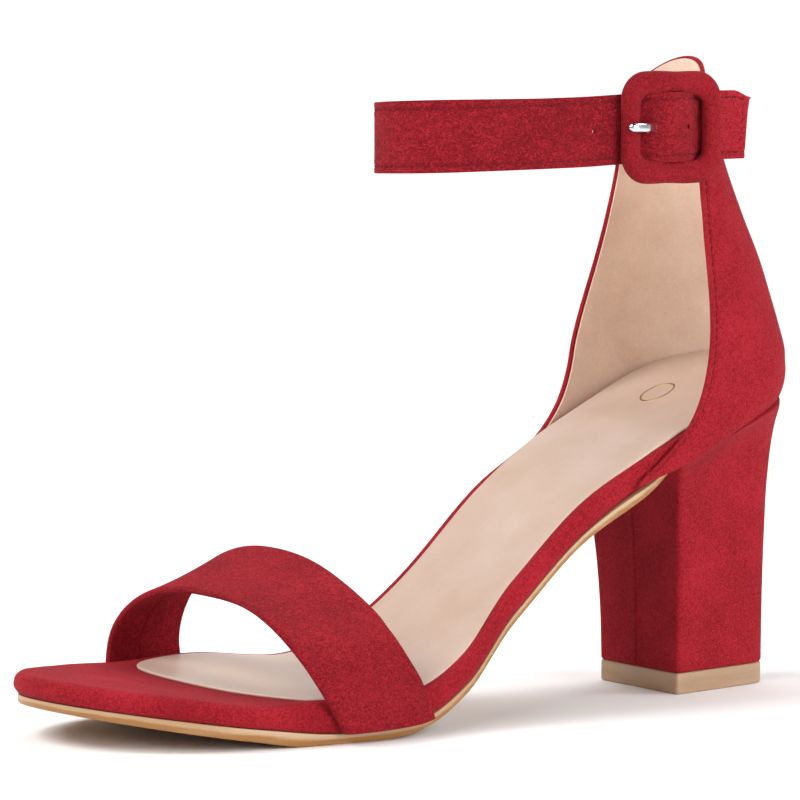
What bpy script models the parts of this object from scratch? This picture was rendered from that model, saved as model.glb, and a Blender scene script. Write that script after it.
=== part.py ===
# Block heel sandal, left shoe: solids at real size.
# Toe towards -X, heel back towards +X, buckle side (lateral) towards -Y, up +Z.
# The origin is the middle of the heel's foot on the floor.
import math

import bpy
import numpy as np

# Driving sizes in millimetres
MM = 0.001
GAP = 0.3
HEEL_BACK_X = 24.5
PLAN_LENGTH = 224.0
HEEL_ROUND = 25.0
TOE_ROUND = 40.0
TOE_POWER = 2.1
WALL = 1.7
BAND_WALL = 2.0
SOCK_THICK = 1.0
SOCK_INSET = 3.1
SOCK_BED = 0.4
LIFT_HEIGHT = 5.7
TOP_PIECE_SHARE = 0.992
BREAST_STATION = 48.5
PLATFORM_ROUND = 2.0

# The last, from the heel's back forward. Columns: station, footbed height, rise of its
# medial edge over the middle, board thickness, half-breadth, middle line towards medial
LAST = [
    (0, 89.6, 0.0, 10.2, 27.2, 0.2),
    (20, 83.8, 0.0, 9.2, 28.3, -0.3),
    (40, 74.6, 0.0, 7.8, 29.4, -0.9),
    (60, 64.8, 0.0, 6.8, 28.8, -1.3),
    (80, 52.4, 0.0, 6.7, 26.2, -1.6),
    (100, 34.9, 0.0, 6.7, 25.3, -2.4),
    (120, 18.0, 0.3, 6.7, 30.6, -3.2),
    (140, 11.2, 1.0, 7.8, 35.2, -2.3),
    (160, 12.0, 2.0, 9.2, 36.6, -0.6),
    (180, 13.2, 1.7, 8.1, 36.2, 1.3),
    (200, 13.6, 0.7, 5.5, 34.1, 3.2),
    (224, 16.0, 0.0, 4.3, 30.2, 6.0),
]
# Outsole underside. Columns: station, height over the floor
UNDERSIDE = [
    (48, 62.4), (54, 59.0), (62, 54.1), (80, 43.0), (100, 25.4), (120, 8.6), (134, 1.9),
    (147, 0.0), (168, 0.0), (184, 2.3), (202, 5.4), (224, 9.4),
]
# Heel cup over the seat. Columns: height, back x, rounding depth, share of the half-breadth
CUP = [
    (60, 24.0, 25.0, 1.0),
    (89, 24.0, 25.0, 1.02),
    (97, 22.2, 25.0, 0.99),
    (105, 19.9, 24.4, 0.925),
    (114, 17.2, 23.0, 0.835),
    (127, 11.8, 20.8, 0.715),
    (139.5, 6.9, 18.5, 0.62),
    (157, 1.2, 15.0, 0.56),
    (169, -2.0, 12.5, 0.53),
]
# Rows of the counter, bottom to top. Columns: front edge x, front height, back height
COUNTER_ROWS = [
    (-40.5, 57.0, 79.4),
    (-36.5, 61.0, 82.5),
    (-28.5, 68.0, 86.5),
    (-23.0, 75.0, 92.0),
    (-19.6, 83.0, 98.5),
    (-17.7, 92.0, 106.0),
    (-15.8, 103.0, 115.0),
    (-14.3, 114.0, 124.0),
    (-13.0, 126.0, 134.0),
    (-12.0, 139.5, 145.5),
    (-11.8, 148.5, 157.5),
    (-11.6, 157.4, 168.6),
]
STRAP_ROWS = 3
# Outer face of the ankle strap in plan, from the medial edge of the counter round the
# front to the free end. Columns: x, y, height of its middle
STRAP_PATH = [
    (-30, 19.4, 148.3), (-50, 19.9, 148.1), (-70, 19.6, 147.9), (-86, 16.5, 147.6),
    (-94, 11, 147.4), (-98.5, 4, 147.3), (-99.5, -3, 147.4), (-97, -10.5, 147.5),
    (-90, -16.5, 147.7), (-80, -19.6, 148.0), (-65, -21.4, 148.4), (-50, -22.4, 148.9),
    (-41, -22.7, 149.4), (-36.6, -23.1, 149.6), (-30.8, -26.0, 149.8), (-26.2, -27.2, 150.0),
    (-21.6, -26.0, 150.1), (-15.8, -23.1, 150.2), (-10, -22.7, 150.4), (-4, -23.1, 150.5),
    (0.4, -23.8, 150.6),
]
STRAP_WIDTH = 18.0

# Vamp band. Columns: share of the way from the lateral foot over the toes to the medial
# foot, front edge x, rear edge x
BAND = [
    (0.00, -136.0, -109.0),
    (0.06, -140.5, -112.0),
    (0.13, -145.5, -116.4),
    (0.20, -149.3, -119.8),
    (0.30, -151.0, -124.0),
    (0.45, -150.0, -127.3),
    (0.60, -149.5, -130.4),
    (0.75, -153.0, -135.8),
    (0.88, -157.5, -138.2),
    (1.00, -158.5, -135.5),
]
# Arches of the band's two edges: springing height, crown height, lateral and medial power
FRONT_ARCH = (8.0, 34.6, 3.2, 3.0)
REAR_ARCH = (10.0, 44.5, 2.1, 2.35)
CROWN_Y = 8.0
BAND_REACH = GAP + BAND_WALL + 0.1
# Below the first height the band follows the platform's bulge, above the second it is free
BAND_LOW_Z = 14.0
BAND_HIGH_Z = 34.0
BAND_COLUMNS = 41
BAND_ROWS = 7

# Heel block from its foot to its seat. Columns: share of the height, spread, breast reach,
# shift towards medial
HEEL_FLARE = [
    (0.0, 0.0, 0.0, 0.0), (0.25, 0.04, 0.02, 0.2), (0.5, 0.14, 0.10, 0.6), (0.7, 0.27, 0.26, 0.9),
    (0.85, 0.46, 0.48, 0.9), (0.94, 0.69, 0.76, 0.5), (1.0, 1.0, 1.0, 0.0),
]
# Heel outline: breast x, half-breadth at the breast and at the back, start of the rounding,
# back x, power
HEEL_FOOT = (-17.3, 17.4, 11.6, 5.0, 18.6, 4.5)
HEEL_SEAT = (HEEL_BACK_X - BREAST_STATION, 28.6, 26.0, -0.5, 21.8, 2.0)

# Covered buckle on the lateral side: middle, outer size, bars
BUCKLE_X = -26.2
BUCKLE_Z = 149.9
BUCKLE_WIDTH = 31.4
BUCKLE_HEIGHT = 29.0
BUCKLE_BAR = 5.1
BUCKLE_FACE_Y = -27.3
BUCKLE_BACK_Y = -23.0
BUCKLE_CORNER = 6.5
BAR_RADIUS = 1.2
BAR_Y = -22.8
LOOP_THICK = 0.65
CHAPE_HEIGHT = 13.0
PRONG_HEIGHT = 2.4
PRONG_THICK = 1.2
PRONG_TIP_THICK = 0.7
# Prong in plan beyond its curl: x, y
PRONG_SHANK = [
    (-29.0, -24.75), (-31.6, -25.2), (-34.0, -26.6), (-36.0, -27.75), (-38.4, -28.05),
    (-40.2, -27.95), (-41.6, -27.5),
]
# Chape in plan, inside and outside the counter's wall: x, y
CHAPE_INNER = [(-3.0, -19.0), (-8.0, -19.55), (-12.0, -19.9), (-17.0, -20.2), (-22.0, -20.7)]
CHAPE_OUTER = [(-22.0, -22.6), (-17.5, -21.1), (-12.0, -20.75), (-8.0, -20.4), (-3.0, -19.85)]


def clear_objects():
    for old in list(bpy.data.objects):
        bpy.data.objects.remove(old, do_unlink=True)


def smooth(at, rows, column):
    """Cubic through a table's rows, level where the column turns or rests."""
    table = np.array(rows, float)
    xs = table[:, 0]
    ys = table[:, column]
    step = np.diff(xs)
    slope = np.diff(ys) / step
    tangent = np.empty_like(ys)
    tangent[1:-1] = (slope[:-1] * step[1:] + slope[1:] * step[:-1]) / (step[:-1] + step[1:])
    tangent[1:-1][slope[:-1] * slope[1:] <= 0] = 0.0
    tangent[0] = slope[0]
    tangent[-1] = slope[-1]
    at = np.clip(np.asarray(at, float), xs[0], xs[-1])
    cell = np.clip(np.searchsorted(xs, at) - 1, 0, len(xs) - 2)
    width = step[cell]
    t = (at - xs[cell]) / width
    rise = (3 * t**2 - 2 * t**3) * (ys[cell + 1] - ys[cell])
    bend = (t**3 - 2 * t**2 + t) * tangent[cell] + (t**3 - t**2) * tangent[cell + 1]
    return ys[cell] + rise + bend * width


def step_up(at, low, high):
    """Smooth step from 0 at low to 1 at high."""
    t = np.clip((np.asarray(at, float) - low) / (high - low), 0.0, 1.0)
    return t * t * (3 - 2 * t)


def station(x):
    return HEEL_BACK_X - np.asarray(x, float)


def half_breadth(u):
    return smooth(u, LAST, 4)


def middle(u):
    return smooth(u, LAST, 5)


def across(x, y):
    """Place across the last: -1 at the lateral edge, 1 at the medial edge."""
    u = station(x)
    return np.clip((y - middle(u)) / half_breadth(u), -1.2, 1.2)


def footbed_z(x, y):
    u = station(x)
    return smooth(u, LAST, 1) + smooth(u, LAST, 2) * across(x, y)


def medial_lift(x, y):
    """The sole's medial edge lifts off the floor under the raised footbed."""
    return 0.8 * smooth(station(x), LAST, 2) * np.clip((across(x, y) - 0.15) / 0.85, 0, None) ** 2


def board_under_z(x, y):
    u = station(x)
    return smooth(u, LAST, 1) - smooth(u, LAST, 3) + medial_lift(x, y)


def outsole_under_z(x, y):
    return smooth(station(x), UNDERSIDE, 1) + medial_lift(x, y)


def end_share(u, length, toe_round, toe_power):
    """Share of the half-breadth left where the heel and the front round off."""
    heel = np.clip((HEEL_ROUND - u) / HEEL_ROUND, 0, 1)
    toe = np.clip((u - (length - toe_round)) / toe_round, 0, 1)
    return np.sqrt(1 - heel**2) * (1 - toe**toe_power) ** (1 / toe_power)


def plan_ring(first, length, count, toe_round=TOE_ROUND, toe_power=TOE_POWER):
    """Closed outline of the last in plan: lateral side forward, medial side back.

    Returns the points, their outward normals and their stations."""
    phase = np.linspace(0 if first == 0 else math.pi / 3, math.pi, count + 1)
    share = (math.cos(phase[0]) - np.cos(phase)) / (math.cos(phase[0]) + 1)
    u = first + (length - first) * share
    half = half_breadth(u) * end_share(u, length, toe_round, toe_power)
    x = HEEL_BACK_X - u
    lateral = np.column_stack([x, middle(u) - half])
    medial = np.column_stack([x, middle(u) + half])[:-1][::-1]
    if first == 0:
        medial = medial[:-1]
    ring = np.vstack([lateral, medial])
    run = np.roll(ring, -1, axis=0) - np.roll(ring, 1, axis=0)
    if first > 0:
        run[0] = ring[1] - ring[0]
        run[-1] = ring[-1] - ring[-2]
    normal = np.column_stack([run[:, 1], -run[:, 0]])
    normal /= np.linalg.norm(normal, axis=1, keepdims=True)
    inward = np.einsum("ij,ij->i", normal, ring - ring.mean(axis=0)).sum() < 0
    return ring, -normal if inward else normal, station(ring[:, 0])


def material(name, colour, roughness, metallic=0.0):
    mat = bpy.data.materials.new(name)
    mat.use_nodes = True
    shader = mat.node_tree.nodes["Principled BSDF"]
    shader.inputs["Base Color"].default_value = (*colour, 1.0)
    shader.inputs["Roughness"].default_value = roughness
    shader.inputs["Metallic"].default_value = metallic
    return mat


def mesh_object(name, points, faces, mat, home):
    """A mesh object from points in millimetres."""
    mesh = bpy.data.meshes.new(name)
    mesh.from_pydata([tuple(p) for p in np.asarray(points) * MM], [], faces)
    mesh.validate()
    mesh.shade_smooth()
    mesh.set_sharp_from_angle(angle=math.radians(35))
    mesh.materials.append(mat)
    thing = bpy.data.objects.new(name, mesh)
    home.objects.link(thing)
    return thing


def ring_faces(lower, upper):
    """Quads between two rings of point numbers, each ring running the same way."""
    count = len(lower)
    return [(lower[k], lower[(k + 1) % count], upper[(k + 1) % count], upper[k]) for k in range(count)]


def cap(points, ring, half_count, height, columns, facing_up):
    """Close a ring with a grid across it. Its inner points are added to points.

    Returns the faces and the row of points at the ring's rear end."""
    count = len(ring)
    shares = np.linspace(0, 1, columns + 2)[1:-1]
    rows = []
    for k in range(half_count + 1):
        partner = (2 * half_count - k) % count
        if partner == k:
            rows.append([ring[k]] * (columns + 2))
            continue
        start = points[ring[k]]
        stop = points[ring[partner]]
        row = [ring[k]]
        for share in shares:
            x, y = (start + (stop - start) * share)[:2]
            points.append(np.array([x, y, float(height(x, y))]))
            row.append(len(points) - 1)
        rows.append(row + [ring[partner]])
    faces = []
    for near, far in zip(rows[:-1], rows[1:]):
        for c in range(columns + 1):
            face = []
            for corner in (near[c], far[c], far[c + 1], near[c + 1]):
                if corner not in face:
                    face.append(corner)
            faces.append(face[::-1] if facing_up else face)
    return faces, rows[0]


def slab(name, outline, inset, top, under, top_round, tuck, tuck_height, mat, home, columns=3):
    """A sole layer: the outline between two surfaces, round above, tucked in below."""
    ring, normal, u = outline
    levels = []
    for turn in np.linspace(0, math.pi / 2, 4):
        levels.append((inset + top_round * (1 - math.sin(turn)), top, -top_round * (1 - math.cos(turn))))
    for share in (1.0, 0.6, 0.3, 0.0):
        levels.append((inset + tuck * (1 - share) ** 2, under, tuck_height * share))
    points = []
    rings = []
    for sink, height, lift in levels:
        xy = ring - normal * (sink * np.ones(len(ring)))[:, None]
        z = height(xy[:, 0], xy[:, 1]) + lift
        rings.append(list(range(len(points), len(points) + len(xy))))
        points += list(np.column_stack([xy, z]))
    cut_end = len(ring) % 2
    faces = []
    for upper, lower in zip(rings[:-1], rings[1:]):
        faces += ring_faces(upper, lower)[:len(ring) - cut_end]
    half_count = len(ring) // 2
    top_faces, top_row = cap(points, rings[0], half_count, top, columns, True)
    under_faces, under_row = cap(points, rings[-1], half_count, under, columns, False)
    faces += top_faces + under_faces
    if cut_end:
        medial_edge = [level[-1] for level in rings[1:-1]]
        lateral_edge = [level[0] for level in rings[1:-1]]
        faces.append((top_row + medial_edge + under_row[::-1] + lateral_edge[::-1])[::-1])
    return mesh_object(name, points, faces, mat, home)


def counter_offset(u):
    """How far the counter's outer face stands over the last."""
    return -0.5 + 1.5 * step_up(u, 20, 45)


def counter_tuck(u):
    """How far the counter's foot curls in over the heel seat."""
    return 2.3 - 1.9 * step_up(u, 12, 50)


def tuck_height(u):
    """Height of that curl, the same for the counter and the board inside it."""
    return 0.6 * smooth(u, LAST, 3)


def board_inset(u):
    """Room for the counter's wall beside the footbed board."""
    play = 0.4 * (1 - step_up(u, 20, 45))
    return (WALL + GAP + play - counter_offset(u)) * (1 - step_up(u, 66, 78))


def make_platform(mat, home):
    """Suede-covered footbed board, heel seat to toe."""
    outline = plan_ring(0, PLAN_LENGTH, 44)
    u = outline[2]
    tuck = 1.1 + counter_tuck(u) * (1 - step_up(u, 60, 80))
    flank = np.minimum(tuck_height(u), smooth(u, LAST, 3) - PLATFORM_ROUND - 0.3)
    return slab("footbed_platform", outline, board_inset(u), footbed_z, board_under_z,
                PLATFORM_ROUND, tuck, flank, mat, home)


def make_sock(mat, home):
    """Insole lining, set back from the toe."""
    outline = plan_ring(0, 188.5, 38, toe_round=24.0, toe_power=2.3)
    u = outline[2]

    def top(x, y):
        return footbed_z(x, y) + SOCK_BED + SOCK_THICK

    def under(x, y):
        return footbed_z(x, y) + SOCK_BED

    return slab("insole_sock", outline, SOCK_INSET * np.ones_like(u), top, under, 0.5, 0.1, 0.4, mat, home)


def make_outsole(mat, home):
    """Thin outsole from the toe to the heel's breast, where it is pared down."""
    outline = plan_ring(BREAST_STATION + 0.9, PLAN_LENGTH, 32)
    u = outline[2]

    def top(x, y):
        return board_under_z(x, y) - GAP

    inset = 0.9 + 1.6 * (1 - step_up(u, 50, 62))
    return slab("outsole", outline, inset, top, outsole_under_z, 0.15, 0.3, 0.4, mat, home, columns=5)


def heel_outline(spread, reach):
    """Plan outline of the heel block, breast and back, with 44 points."""
    foot = np.array(HEEL_FOOT)
    seat = np.array(HEEL_SEAT)
    breast, half, back_half, turn, back, power = foot + (seat - foot) * spread
    breast = HEEL_FOOT[0] + (HEEL_SEAT[0] - HEEL_FOOT[0]) * reach
    swing = np.linspace(0, math.pi / 2, 18)
    x = breast + 1.0 + (back - breast - 1.0) * np.sin(swing) ** 0.85
    share = np.clip((x - breast) / (back - breast), 0, 1)
    width = half + (back_half - half) * share
    rounding = np.clip((x - turn) / (back - turn), 0, 1)
    y = width * (1 - rounding**power) ** (1 / power)
    y[-1] = 0.0
    front_y = np.linspace(-(half - 1.0), half - 1.0, 9)
    front_x = np.full(9, breast)
    middle_y = middle(station(x)) * spread
    lateral = np.column_stack([x, middle_y - y])
    medial = np.column_stack([x, middle_y + y])[:-1][::-1]
    front = np.column_stack([front_x, front_y[::-1] + middle(station(breast)) * spread])
    return np.vstack([lateral, medial, front])


def make_heel_block(mat, home):
    """Covered block heel, flaring from its foot to the seat."""
    foot_z = LIFT_HEIGHT + GAP
    points = []
    rings = []
    for share in (0.0, 0.15, 0.3, 0.45, 0.58, 0.7, 0.8, 0.89, 0.95, 1.0):
        xy = heel_outline(smooth(share, HEEL_FLARE, 1), smooth(share, HEEL_FLARE, 2))
        xy[:, 1] += smooth(share, HEEL_FLARE, 3)
        seat_z = board_under_z(xy[:, 0], xy[:, 1]) - GAP
        rings.append(list(range(len(points), len(points) + len(xy))))
        points += list(np.column_stack([xy, foot_z + (seat_z - foot_z) * share]))
    faces = []
    for lower, upper in zip(rings[:-1], rings[1:]):
        faces += ring_faces(lower, upper)
    faces.append(rings[0][::-1])
    faces += seat_faces(points, rings[-1])
    return mesh_object("heel_block", points, faces, mat, home)


def seat_faces(points, ring):
    """Close the heel's seat with strips across, so that it follows the board."""
    sides = 18
    lateral = ring[:sides]
    medial = [ring[sides - 1]] + ring[sides:2 * sides - 1]
    medial = medial[::-1]
    front = ring[2 * sides - 1:]
    faces = []
    for k in range(sides - 1):
        face = []
        for corner in (lateral[k], lateral[k + 1], medial[k + 1], medial[k]):
            if corner not in face:
                face.append(corner)
        faces.append(face)
    faces.append([medial[0]] + front + [lateral[0]])
    return faces


def make_heel_top_piece(mat, home):
    """Tan top piece under the heel, flat on the floor."""
    xy = heel_outline(0.0, 0.0) * TOP_PIECE_SHARE
    count = len(xy)
    low = np.column_stack([xy * 0.985, np.zeros(count)])
    rise = np.column_stack([xy, np.full(count, 0.4)])
    high = np.column_stack([xy, np.full(count, LIFT_HEIGHT)])
    rings = [list(range(k * count, (k + 1) * count)) for k in range(3)]
    faces = ring_faces(rings[0], rings[1]) + ring_faces(rings[1], rings[2])
    faces += [rings[0][::-1], rings[2]]
    return mesh_object("heel_top_piece", np.vstack([low, rise, high]), faces, mat, home)


def counter_grid(columns):
    """Outer face of the counter. Rows run up, columns from the lateral edge to the medial."""
    side = np.linspace(-1, 1, 2 * columns + 1)
    along = 1 - np.cos(np.abs(side) * math.pi / 2)
    grid = []
    for row, (front_x, front_z, back_z) in enumerate(COUNTER_ROWS):
        back_x = float(smooth(back_z, CUP, 1))
        x = back_x + (front_x - back_x) * along
        z = back_z + (front_z - back_z) * along
        if row == 0:
            z = board_under_z(x, x * 0)
        u = station(x)
        depth = np.clip((smooth(z, CUP, 1) - x) / smooth(z, CUP, 2), 0, 1)
        half = (half_breadth(u) + counter_offset(u)) * smooth(z, CUP, 3)
        y = middle(u) + np.sign(side) * half * np.sqrt(1 - (1 - depth) ** 2)
        run_x = np.gradient(x)
        run_y = np.gradient(y)
        length = np.hypot(run_x, run_y)
        over_seat = np.clip((z - board_under_z(x, x * 0)) / tuck_height(u), 0, 1)
        tuck = counter_tuck(u) * (1 - over_seat) ** 2
        x = x - run_y / length * tuck
        y = y + run_x / length * tuck
        grid.append(np.column_stack([x, y, z]))
    return np.array(grid)


def strap_columns(start):
    """Columns of the strap's outer face on a smooth curve through its path."""
    knots = np.vstack([start, STRAP_PATH])
    leg = np.linalg.norm(np.diff(knots[:, :2], axis=0), axis=1)
    along = np.concatenate([[0], np.cumsum(leg)])
    fine = []
    for number, length in enumerate(leg):
        pieces = max(1, int(round(length / 5.0)))
        fine += list(along[number] + length * np.arange(1, pieces + 1) / pieces)
    rows = np.column_stack([along, knots])
    xyz = np.column_stack([smooth_free(fine, rows, c) for c in (1, 2, 3)])
    lift = np.linspace(-0.5, 0.5, STRAP_ROWS) * STRAP_WIDTH
    return [np.column_stack([np.full(STRAP_ROWS, x), np.full(STRAP_ROWS, y), z + lift]) for x, y, z in xyz]


def smooth_free(at, rows, column):
    """Cubic through a table's rows that may swing past them, for a bent strip."""
    xs = rows[:, 0]
    ys = rows[:, column]
    step = np.diff(xs)
    slope = np.diff(ys) / step
    tangent = np.empty_like(ys)
    tangent[1:-1] = (slope[:-1] * step[1:] + slope[1:] * step[:-1]) / (step[:-1] + step[1:])
    tangent[0] = slope[0]
    tangent[-1] = slope[-1]
    at = np.asarray(at, float)
    cell = np.clip(np.searchsorted(xs, at) - 1, 0, len(xs) - 2)
    t = (at - xs[cell]) / step[cell]
    rise = (3 * t**2 - 2 * t**3) * (ys[cell + 1] - ys[cell])
    bend = (t**3 - 2 * t**2 + t) * tangent[cell] + (t**3 - t**2) * tangent[cell + 1]
    return ys[cell] + rise + bend * step[cell]


def solidify(thing, thickness):
    wall = thing.modifiers.new("wall", "SOLIDIFY")
    wall.thickness = thickness * MM
    wall.offset = -1.0
    wall.use_even_offset = True
    return wall


def cut(thing, cutter):
    hole = thing.modifiers.new("cut", "BOOLEAN")
    hole.operation = "DIFFERENCE"
    hole.object = cutter
    hole.solver = "EXACT"


def make_counter_and_strap(mat, home, slot):
    """Closed heel counter with the ankle strap joined to its medial edge."""
    grid = counter_grid(12)
    rows, columns = grid.shape[:2]
    points = list(grid.reshape(-1, 3))
    faces = []
    for r in range(rows - 1):
        for c in range(columns - 1):
            a = r * columns + c
            faces.append((a, a + 1, a + columns + 1, a + columns))
    last = [(r + 1) * columns - 1 for r in range(rows - STRAP_ROWS, rows)]
    start = points[last[1]]
    for column in strap_columns(start):
        fresh = list(range(len(points), len(points) + STRAP_ROWS))
        points += list(column)
        for r in range(STRAP_ROWS - 1):
            faces.append((last[r], fresh[r], fresh[r + 1], last[r + 1]))
        last = fresh
    thing = mesh_object("heel_counter_and_ankle_strap", points, faces, mat, home)
    solidify(thing, WALL)
    cut(thing, slot)
    return thing


def band_foot_y(x, side):
    """Outer face of the band where it runs down past the platform's edge."""
    u = station(x)
    return float(middle(u) + side * (half_breadth(u) + BAND_REACH))


def band_edge(arch, column, samples=400):
    """One edge of the band over the toes, from the lateral foot to the medial foot."""
    spring, crown, lateral_power, medial_power = arch
    rows = np.array(BAND)
    lateral_y = band_foot_y(smooth(0.05, BAND, column), -1)
    medial_y = band_foot_y(smooth(0.95, BAND, column), 1)
    swing = np.linspace(0, math.pi / 2, samples)
    flank = []
    for reach, power in ((CROWN_Y - lateral_y, lateral_power), (medial_y - CROWN_Y, medial_power)):
        out = reach * np.cos(swing) ** (2 / power)
        up = spring + (crown - spring) * np.sin(swing) ** (2 / power)
        flank.append(np.column_stack([out, up]))
    lateral = np.column_stack([CROWN_Y - flank[0][:, 0], flank[0][:, 1]])
    medial = np.column_stack([CROWN_Y + flank[1][:, 0], flank[1][:, 1]])[::-1]
    lateral_foot = [lateral_y, float(board_under_z(rows[0, column], lateral_y))]
    medial_foot = [medial_y, float(board_under_z(rows[-1, column], medial_y))]
    curve = np.vstack([[lateral_foot], lateral, medial[1:], [medial_foot]])
    run = np.concatenate([[0], np.cumsum(np.linalg.norm(np.diff(curve, axis=0), axis=1))])
    share = np.linspace(0, 1, BAND_COLUMNS)
    y = np.interp(share, run / run[-1], curve[:, 0])
    z = np.interp(share, run / run[-1], curve[:, 1])
    x = smooth(share, BAND, column)
    return np.column_stack([x, y, z])


def make_vamp_band(mat, home):
    """One wide band over the toes, lasted down both sides of the platform."""
    front = band_edge(FRONT_ARCH, 1)
    rear = band_edge(REAR_ARCH, 2)
    points = []
    for row in np.linspace(0, 1, BAND_ROWS):
        line = front + (rear - front) * row
        low = 1 - step_up(line[:, 2], BAND_LOW_Z, BAND_HIGH_Z)
        crown = BAND_COLUMNS // 2
        for side, foot, flank in ((-1, 0, slice(0, crown)), (1, -1, slice(crown, None))):
            bulge = band_foot_y(line[foot, 0], side) - line[foot, 1]
            line[flank, 1] += bulge * low[flank]
        feet = np.array([0, -1])
        line[feet, 2] = board_under_z(line[feet, 0], line[feet, 1])
        points += list(line)
    faces = []
    for r in range(BAND_ROWS - 1):
        for c in range(BAND_COLUMNS - 1):
            a = r * BAND_COLUMNS + c
            faces.append((a, a + BAND_COLUMNS, a + BAND_COLUMNS + 1, a + 1))
    thing = mesh_object("vamp_band", points, faces, mat, home)
    solidify(thing, BAND_WALL)
    return thing


def ribbon(name, path, thickness, low, high, mat, home):
    """A flat strip on edge: a plan path given thickness, between two heights."""
    path = np.asarray(path, float)
    run = np.gradient(path, axis=0)
    run /= np.linalg.norm(run, axis=1, keepdims=True)
    side = np.column_stack([-run[:, 1], run[:, 0]])
    half = (np.ones(len(path)) * thickness / 2)[:, None]
    left = path + side * half
    right = path - side * half
    points = []
    for k in range(len(path)):
        for xy, z in ((left[k], low), (right[k], low), (right[k], high), (left[k], high)):
            points.append([xy[0], xy[1], z])
    faces = [(0, 1, 2, 3)]
    for k in range(len(path) - 1):
        a = 4 * k
        for c in range(4):
            d = (c + 1) % 4
            faces.append((a + c, a + 4 + c, a + 4 + d, a + d))
    end = 4 * (len(path) - 1)
    faces.append((end + 3, end + 2, end + 1, end))
    return mesh_object(name, points, faces, mat, home)


def arc(centre, radius, start, stop, count):
    turn = np.radians(np.linspace(start, stop, count))
    return np.column_stack([centre[0] + radius * np.cos(turn), centre[1] + radius * np.sin(turn)])


def prong_path():
    """Curl round the bar, then the shank out through the strap and over the frame."""
    centre = (BUCKLE_X, BAR_Y)
    curl = arc(centre, BAR_RADIUS + GAP + LOOP_THICK / 2, 200, -90, 14)
    rising = (LOOP_THICK + PRONG_THICK) / 2
    thickness = np.concatenate([np.full(14, LOOP_THICK), [rising], np.full(6, PRONG_THICK)])
    thickness[-1] = PRONG_TIP_THICK
    return np.vstack([curl, PRONG_SHANK]), thickness


def make_prong(mat, home):
    path, thickness = prong_path()
    return ribbon("buckle_prong", path, thickness, BUCKLE_Z - PRONG_HEIGHT / 2,
                  BUCKLE_Z + PRONG_HEIGHT / 2, mat, home)


def prong_slot(mat, home):
    """Cutter for the strap's hole, a little larger than the prong's shank."""
    path, thickness = prong_path()
    slot = ribbon("prong_slot", path[13:], thickness[13:] + 2 * GAP, BUCKLE_Z - PRONG_HEIGHT / 2 - GAP,
                  BUCKLE_Z + PRONG_HEIGHT / 2 + GAP, mat, home)
    slot.hide_render = True
    slot.display_type = "WIRE"
    return slot


def chape_slot(mat, home):
    """Cutter for the notch in the chape where the prong's curl turns on the bar."""
    reach = [(BUCKLE_X - 4.0, BAR_Y), (BUCKLE_X + 2.8, BAR_Y)]
    slot = ribbon("chape_slot", reach, 8.0, BUCKLE_Z - PRONG_HEIGHT / 2 - 2 * GAP,
                  BUCKLE_Z + PRONG_HEIGHT / 2 + 2 * GAP, mat, home)
    slot.hide_render = True
    slot.display_type = "WIRE"
    return slot


def make_chape(mat, home, slot):
    """Folded tab that carries the buckle's bar and is sewn to the counter."""
    centre = (BUCKLE_X, BAR_Y)
    radius = BAR_RADIUS + GAP + LOOP_THICK / 2
    fold = arc(centre, radius, 80, 290, 12)
    path = np.vstack([CHAPE_INNER, fold, CHAPE_OUTER])
    thing = ribbon("buckle_chape", path, LOOP_THICK, BUCKLE_Z - CHAPE_HEIGHT / 2,
                   BUCKLE_Z + CHAPE_HEIGHT / 2, mat, home)
    cut(thing, slot)
    return thing


def make_buckle(mat, home):
    """Fabric-covered square frame with a round bar behind its middle."""
    width = BUCKLE_WIDTH - BUCKLE_BAR
    height = BUCKLE_HEIGHT - BUCKLE_BAR
    corner = BUCKLE_CORNER - BUCKLE_BAR / 2
    line = rounded_rectangle(width, height, corner, 6)
    middle_y = (BUCKLE_FACE_Y + BUCKLE_BACK_Y) / 2
    section = np.linspace(0, 2 * math.pi, 10, endpoint=False)
    depth = (BUCKLE_BACK_Y - BUCKLE_FACE_Y) / 2
    points = []
    rings = []
    run = np.roll(line, -1, axis=0) - np.roll(line, 1, axis=0)
    out = np.column_stack([run[:, 1], -run[:, 0]])
    out /= np.linalg.norm(out, axis=1, keepdims=True)
    for place, way in zip(line, out):
        rings.append(list(range(len(points), len(points) + len(section))))
        for a in section:
            xz = place + way * (BUCKLE_BAR / 2 * math.cos(a))
            points.append([BUCKLE_X + xz[0], middle_y + depth * math.sin(a), BUCKLE_Z + xz[1]])
    faces = []
    for k in range(len(rings)):
        faces += ring_faces(rings[k], rings[(k + 1) % len(rings)])
    frame = mesh_object("buckle_frame", points, faces, mat, home)
    bar = centre_bar(mat, home)
    join = frame.modifiers.new("bar", "BOOLEAN")
    join.operation = "UNION"
    join.object = bar
    join.solver = "EXACT"
    return frame, bar


def rounded_rectangle(width, height, radius, steps):
    """Closed centre line of the frame in its own plane."""
    places = []
    for quarter, (sx, sz) in enumerate(((1, 1), (-1, 1), (-1, -1), (1, -1))):
        centre = (sx * (width / 2 - radius), sz * (height / 2 - radius))
        places += list(arc(centre, radius, 90 * quarter, 90 * quarter + 90, steps))
    return np.array(places)


def centre_bar(mat, home):
    length = BUCKLE_HEIGHT - BUCKLE_BAR
    turn = np.linspace(0, 2 * math.pi, 12, endpoint=False)
    points = []
    for z in (BUCKLE_Z - length / 2, BUCKLE_Z + length / 2):
        for a in turn:
            points.append([BUCKLE_X + BAR_RADIUS * math.cos(a), BAR_Y + BAR_RADIUS * math.sin(a), z])
    low = list(range(12))
    high = list(range(12, 24))
    faces = ring_faces(low, high) + [low[::-1], high]
    bar = mesh_object("centre_bar", points, faces, mat, home)
    bar.hide_render = True
    bar.display_type = "WIRE"
    return bar


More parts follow.
